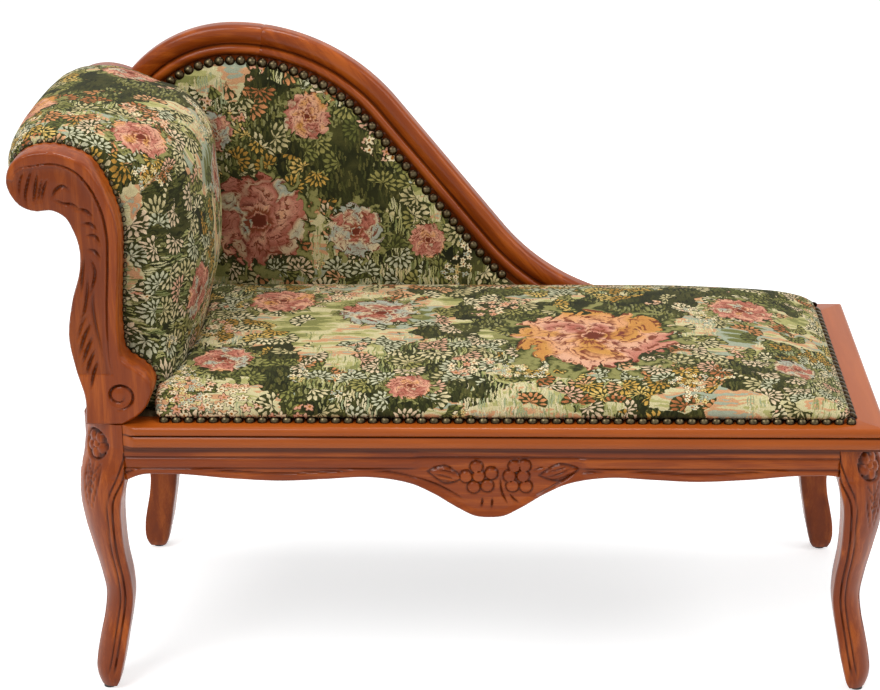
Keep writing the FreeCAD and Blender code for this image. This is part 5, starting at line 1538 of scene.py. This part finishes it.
def build_head_outside(material):
    """Cloth behind the head, bent round the posts' outer edges."""
    line = smooth_path(head_place(POST_OUTLINE[:9]), 8.0)
    line = line[line[:, 1] < RIM_TOP + HEAD_SHEET_TOP * POST_HEIGHT] + np.array([4.0, 0.0])
    across = np.linspace(-PAD_HALF_DEPTH, PAD_HALF_DEPTH, 37)
    run = run_lengths(line)
    points, cloth = [], []
    for layer in (0.0, SHEET_THICKNESS):
        for (x, z), s in zip(line, run):
            for y in across:
                pull = 0.8 * (1 - (y / PAD_HALF_DEPTH) ** 2)
                points.append((x + layer + pull, y, z))
                cloth.append((s, y))
    rows, columns = len(line), len(across)
    faces = []
    for layer in (0, rows * columns):
        for i in range(rows - 1):
            for j in range(columns - 1):
                a = layer + i * columns + j
                faces.append((a, a + 1, a + columns + 1, a + columns))
    border = [i * columns for i in range(rows)] + [(rows - 1) * columns + j for j in range(1, columns)]
    border += [i * columns + columns - 1 for i in range(rows - 2, -1, -1)] + list(range(columns - 2, 0, -1))
    for a, b in zip(border, border[1:] + border[:1]):
        faces.append((a, b, b + rows * columns, a + rows * columns))
    piece = make_piece("outside_head_cloth", points, faces, material, node="head_outside_cover")
    lay_cloth(piece, np.array(cloth), HEAD_BLOOMS)


# Camera of the photograph: place in metres, angles in degrees, the rest in pixels
CAMERA_PLACE = (0.1126, -3.326, 1.674)
CAMERA_PITCH = 20.27
CAMERA_ROLL = 0.184
FOCAL_PIXELS = 2356.0
IMAGE_WIDTH = 880
PRINCIPAL_X = 531.5
# Soft lights: name, place and diameter in metres, and share of the key light's power
LAMPS = [("key", (-1.9, -2.5, 3.9), 2.4, 1.0), ("side", (3.0, -1.2, 2.8), 2.0, 0.35),
         ("top", (0.2, 0.4, 4.0), 1.4, 0.54)]
LAMP_TARGET = (0, 0, 0.45)
# The floor lies a hair below the feet, and turns up behind them into a wall; in metres
FLOOR_DROP = 0.0005
FLOOR_HALF = 14.0
FLOOR_RISE = 6.0
FLOOR_BEND_STEPS = 24
FLOOR_GLOW = 0.60


def build_camera():
    camera = bpy.data.cameras.new("studio_camera")
    camera.sensor_width = 36.0
    camera.lens = FOCAL_PIXELS / IMAGE_WIDTH * camera.sensor_width
    camera.shift_x = (IMAGE_WIDTH / 2 - PRINCIPAL_X) / IMAGE_WIDTH
    holder = add_to_scene("studio_camera", camera)
    holder.location = CAMERA_PLACE
    holder.rotation_euler = (math.radians(90 - CAMERA_PITCH), 0, 0)
    holder.rotation_euler.rotate_axis("Z", math.radians(CAMERA_ROLL))
    bpy.context.scene.camera = holder


def floor_paint(settings):
    """Matt pale paint that glows to the camera, so that the floor runs out to white."""
    material, tree, shader = new_material("painted_studio_floor")
    if tree is None:
        return material
    pale = tuple(settings.floor)
    mottle = noise(tree, object_place(tree), 4.0)
    tone = ramp(tree, mottle, [(0.0, tuple(c * 0.99 for c in pale)), (1.0, pale)])
    tree.links.new(tone.outputs[0], shader.inputs["Base Color"])
    shader.inputs["Roughness"].default_value = 0.9
    shader.inputs["Specular IOR Level"].default_value = 0.1
    path = add_node(tree, "ShaderNodeLightPath").outputs
    seen = math_node(tree, "MAXIMUM", path["Is Camera Ray"], path["Is Glossy Ray"])
    strength = math_node(tree, "MULTIPLY", seen, FLOOR_GLOW)
    glow = add_node(tree, "ShaderNodeEmission", inputs={"Strength": strength})
    both = add_node(tree, "ShaderNodeAddShader", inputs={0: shader, 1: glow})
    tree.links.new(both.outputs[0], tree.nodes["Material Output"].inputs["Surface"])
    return material


def build_floor(settings):
    profile = [(-FLOOR_HALF, 0.0), (FLOOR_HALF - FLOOR_RISE, 0.0)]
    for index in range(1, FLOOR_BEND_STEPS + 1):
        angle = math.pi / 2 * index / FLOOR_BEND_STEPS
        profile.append((FLOOR_HALF - FLOOR_RISE + FLOOR_RISE * math.sin(angle),
                        FLOOR_RISE - FLOOR_RISE * math.cos(angle)))
    points = [(x, y, z - FLOOR_DROP) for x in (-FLOOR_HALF, FLOOR_HALF) for y, z in profile]
    count = len(profile)
    mesh = bpy.data.meshes.new("studio_floor")
    mesh.from_pydata(points, [], [(i, i + 1, count + i + 1, count + i) for i in range(count - 1)])
    mesh.shade_smooth()
    mesh.materials.append(floor_paint(settings))
    add_to_scene("studio_floor", mesh)


def build_lights(settings):
    for name, place, size, share in LAMPS:
        light = bpy.data.lights.new(name, "AREA")
        light.shape = "DISK"
        light.size = size
        light.energy = settings.key_power * share
        lamp = add_to_scene(name + "_softbox", light)
        lamp.location = place
        lamp.rotation_euler = (Vector(LAMP_TARGET) - Vector(place)).to_track_quat("-Z", "Y").to_euler()
    # The world is plain white where it is seen or mirrored, and a weaker even fill as a light
    world = bpy.data.worlds.new("studio_world")
    world.use_nodes = True
    tree = world.node_tree
    background = tree.nodes["Background"]
    path = add_node(tree, "ShaderNodeLightPath").outputs
    seen = math_node(tree, "MAXIMUM", path["Is Camera Ray"], path["Is Transmission Ray"])
    seen = math_node(tree, "MAXIMUM", seen, path["Is Glossy Ray"])
    strength = add_node(tree, "ShaderNodeMix", {"data_type": "FLOAT"}, {0: seen, 2: settings.fill, 3: 1.0})
    tree.links.new(strength.outputs[0], background.inputs["Strength"])
    background.inputs["Color"].default_value = (1, 1, 1, 1)
    bpy.context.scene.world = world


# Operators

class CHAISE_OT_stage(bpy.types.Operator):
    """Builds the studio floor, lights and camera"""
    bl_idname = "chaise.stage"
    bl_label = "Build studio"

    def execute(self, context):
        settings = context.scene.chaise_stage
        build_camera()
        build_floor(settings)
        build_lights(settings)
        context.scene.view_settings.view_transform = "Standard"
        return {"FINISHED"}


class CHAISE_OT_hidden_frame(bpy.types.Operator):
    """Finishes the rails, blocks, webbing, screws and glides that stay as they are in the frame"""
    bl_idname = "chaise.hidden_frame"
    bl_label = "Finish hidden frame"

    def execute(self, context):
        wood = context.scene.chaise_wood
        inner = raw_beech()
        webbing = woven_cloth("jute_webbing", "#7A6140", "#B89C6E", 2.6)
        # Hessian painted darker than jute, as painted shade where it shows in the gap between the head post
        # and the seat
        hessian = woven_cloth("jute_hessian", "#4A3B24", "#6E5A38", 2.2)
        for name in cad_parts:
            if name.endswith(("corner_block", "_rail", "dowels", "_spline")):
                dress_node(name, inner)
            elif name.endswith("straps"):
                dress_node(name, webbing)
            elif name.endswith("hessian"):
                dress_node(name, hessian)
        dress_node("rear_apron", lacquered_wood(wood, "x"))
        dress_node("head_apron", lacquered_wood(wood, "y"))
        dress_node("seat_dust_cover", woven_cloth("black_bottoming_cloth", "#191919", "#33312F", 1.6))
        dress_node("corner_block_screws", metal("zinc_plated_steel", "#8E8F90", "#C4C5C4", 0.35))
        dress_node("leg_glides", glide_nylon())
        return {"FINISHED"}


class CHAISE_OT_legs(bpy.types.Operator):
    """Carves the four cabriole legs"""
    bl_idname = "chaise.legs"
    bl_label = "Carve legs"

    def execute(self, context):
        wood = lacquered_wood(context.scene.chaise_wood, "z")
        for row, side_y in (("front", FRONT), ("rear", REAR)):
            build_leg(row + "_left_cabriole", row + "_left_leg", LEFT_LEG_X, -1, side_y, True, wood)
            build_leg(row + "_right_cabriole", row + "_right_leg", RIGHT_LEG_X, 1, side_y, False, wood)
        return {"FINISHED"}


class CHAISE_OT_posts(bpy.types.Operator):
    """Carves the two scrolled posts of the head"""
    bl_idname = "chaise.posts"
    bl_label = "Carve head posts"

    def execute(self, context):
        wood = lacquered_wood(context.scene.chaise_wood, "z")
        build_post("front_scroll_carving", "head_front_post", POST_OUTLINE, FRONT, True, wood)
        build_post("rear_scroll_carving", "head_rear_post", REAR_OUTLINE, REAR, False, wood)
        return {"FINISHED"}


class CHAISE_OT_rims(bpy.types.Operator):
    """Runs the moulding round the seat frame and carves the aprons"""
    bl_idname = "chaise.rims"
    bl_label = "Build rims and aprons"

    def execute(self, context):
        wood = context.scene.chaise_wood
        # The rims get a paler copy of the wood, as painted light from above
        build_rims(lacquered_wood(wood, "x", paler=RIM_PAINTED_LIGHT), lacquered_wood(wood, "y", paler=RIM_PAINTED_LIGHT))
        build_aprons(lacquered_wood(wood, "x"), lacquered_wood(wood, "y"))
        return {"FINISHED"}


class CHAISE_OT_crest(bpy.types.Operator):
    """Runs the moulding along the crest rail"""
    bl_idname = "chaise.crest"
    bl_label = "Build crest rail"

    def execute(self, context):
        wood = context.scene.chaise_wood
        build_crest((lacquered_wood(wood, "x"), lacquered_wood(wood, "x", CREST_FALL)))
        return {"FINISHED"}


class CHAISE_OT_cushions(bpy.types.Operator):
    """Stuffs and covers the seat, head and back"""
    bl_idname = "chaise.cushions"
    bl_label = "Build cushions"

    def execute(self, context):
        settings = context.scene.chaise_cloth
        cloth = tapestry(settings)
        build_seat(settings, cloth)
        build_head(settings, cloth)
        build_back(settings, cloth)
        return {"FINISHED"}


class CHAISE_OT_covers(bpy.types.Operator):
    """Stretches the outside covers"""
    bl_idname = "chaise.covers"
    bl_label = "Build outside covers"

    def execute(self, context):
        cloth = tapestry(context.scene.chaise_cloth)
        build_back_outside(cloth)
        build_head_outside(cloth)
        return {"FINISHED"}


class CHAISE_OT_nails(bpy.types.Operator):
    """Drives the rows of decorative nails"""
    bl_idname = "chaise.nails"
    bl_label = "Drive nails"

    def execute(self, context):
        settings = context.scene.chaise_nails
        bronze = metal("antiqued_bronze", tuple(0.35 * c for c in settings.metal), tuple(settings.metal), 0.3)
        build_nails(settings, bronze)
        return {"FINISHED"}


class CHAISE_PT_sidebar(bpy.types.Panel):
    """Lists the chaise longue's settings and building steps"""
    bl_idname = "CHAISE_PT_sidebar"
    bl_label = "Chaise longue"
    bl_space_type = "VIEW_3D"
    bl_region_type = "UI"
    bl_category = "Chaise"

    def draw(self, context):
        layout = self.layout
        for label, group in GROUPS:
            settings = getattr(context.scene, label)
            box = layout.box()
            box.label(text=group.__doc__)
            for name in group.__annotations__:
                box.prop(settings, name)
        for operator in OPERATORS:
            layout.operator(operator.bl_idname)


GROUPS = (
    ("chaise_wood", ChaiseWoodSettings),
    ("chaise_cloth", ChaiseClothSettings),
    ("chaise_nails", ChaiseNailSettings),
    ("chaise_stage", ChaiseStageSettings),
)
OPERATORS = (
    CHAISE_OT_hidden_frame,
    CHAISE_OT_legs,
    CHAISE_OT_posts,
    CHAISE_OT_rims,
    CHAISE_OT_crest,
    CHAISE_OT_cushions,
    CHAISE_OT_covers,
    CHAISE_OT_nails,
    CHAISE_OT_stage,
)


def register():
    for label, group in GROUPS:
        bpy.utils.register_class(group)
        setattr(bpy.types.Scene, label, PointerProperty(type=group))
    for operator in OPERATORS:
        bpy.utils.register_class(operator)
    bpy.utils.register_class(CHAISE_PT_sidebar)


def unregister():
    bpy.utils.unregister_class(CHAISE_PT_sidebar)
    for operator in reversed(OPERATORS):
        bpy.utils.unregister_class(operator)
    for label, group in reversed(GROUPS):
        delattr(bpy.types.Scene, label)
        bpy.utils.unregister_class(group)


def main():
    register()
    for operator in OPERATORS:
        group, step = operator.bl_idname.split(".")
        getattr(getattr(bpy.ops, group), step)()


if __name__ == "__main__":
    main()
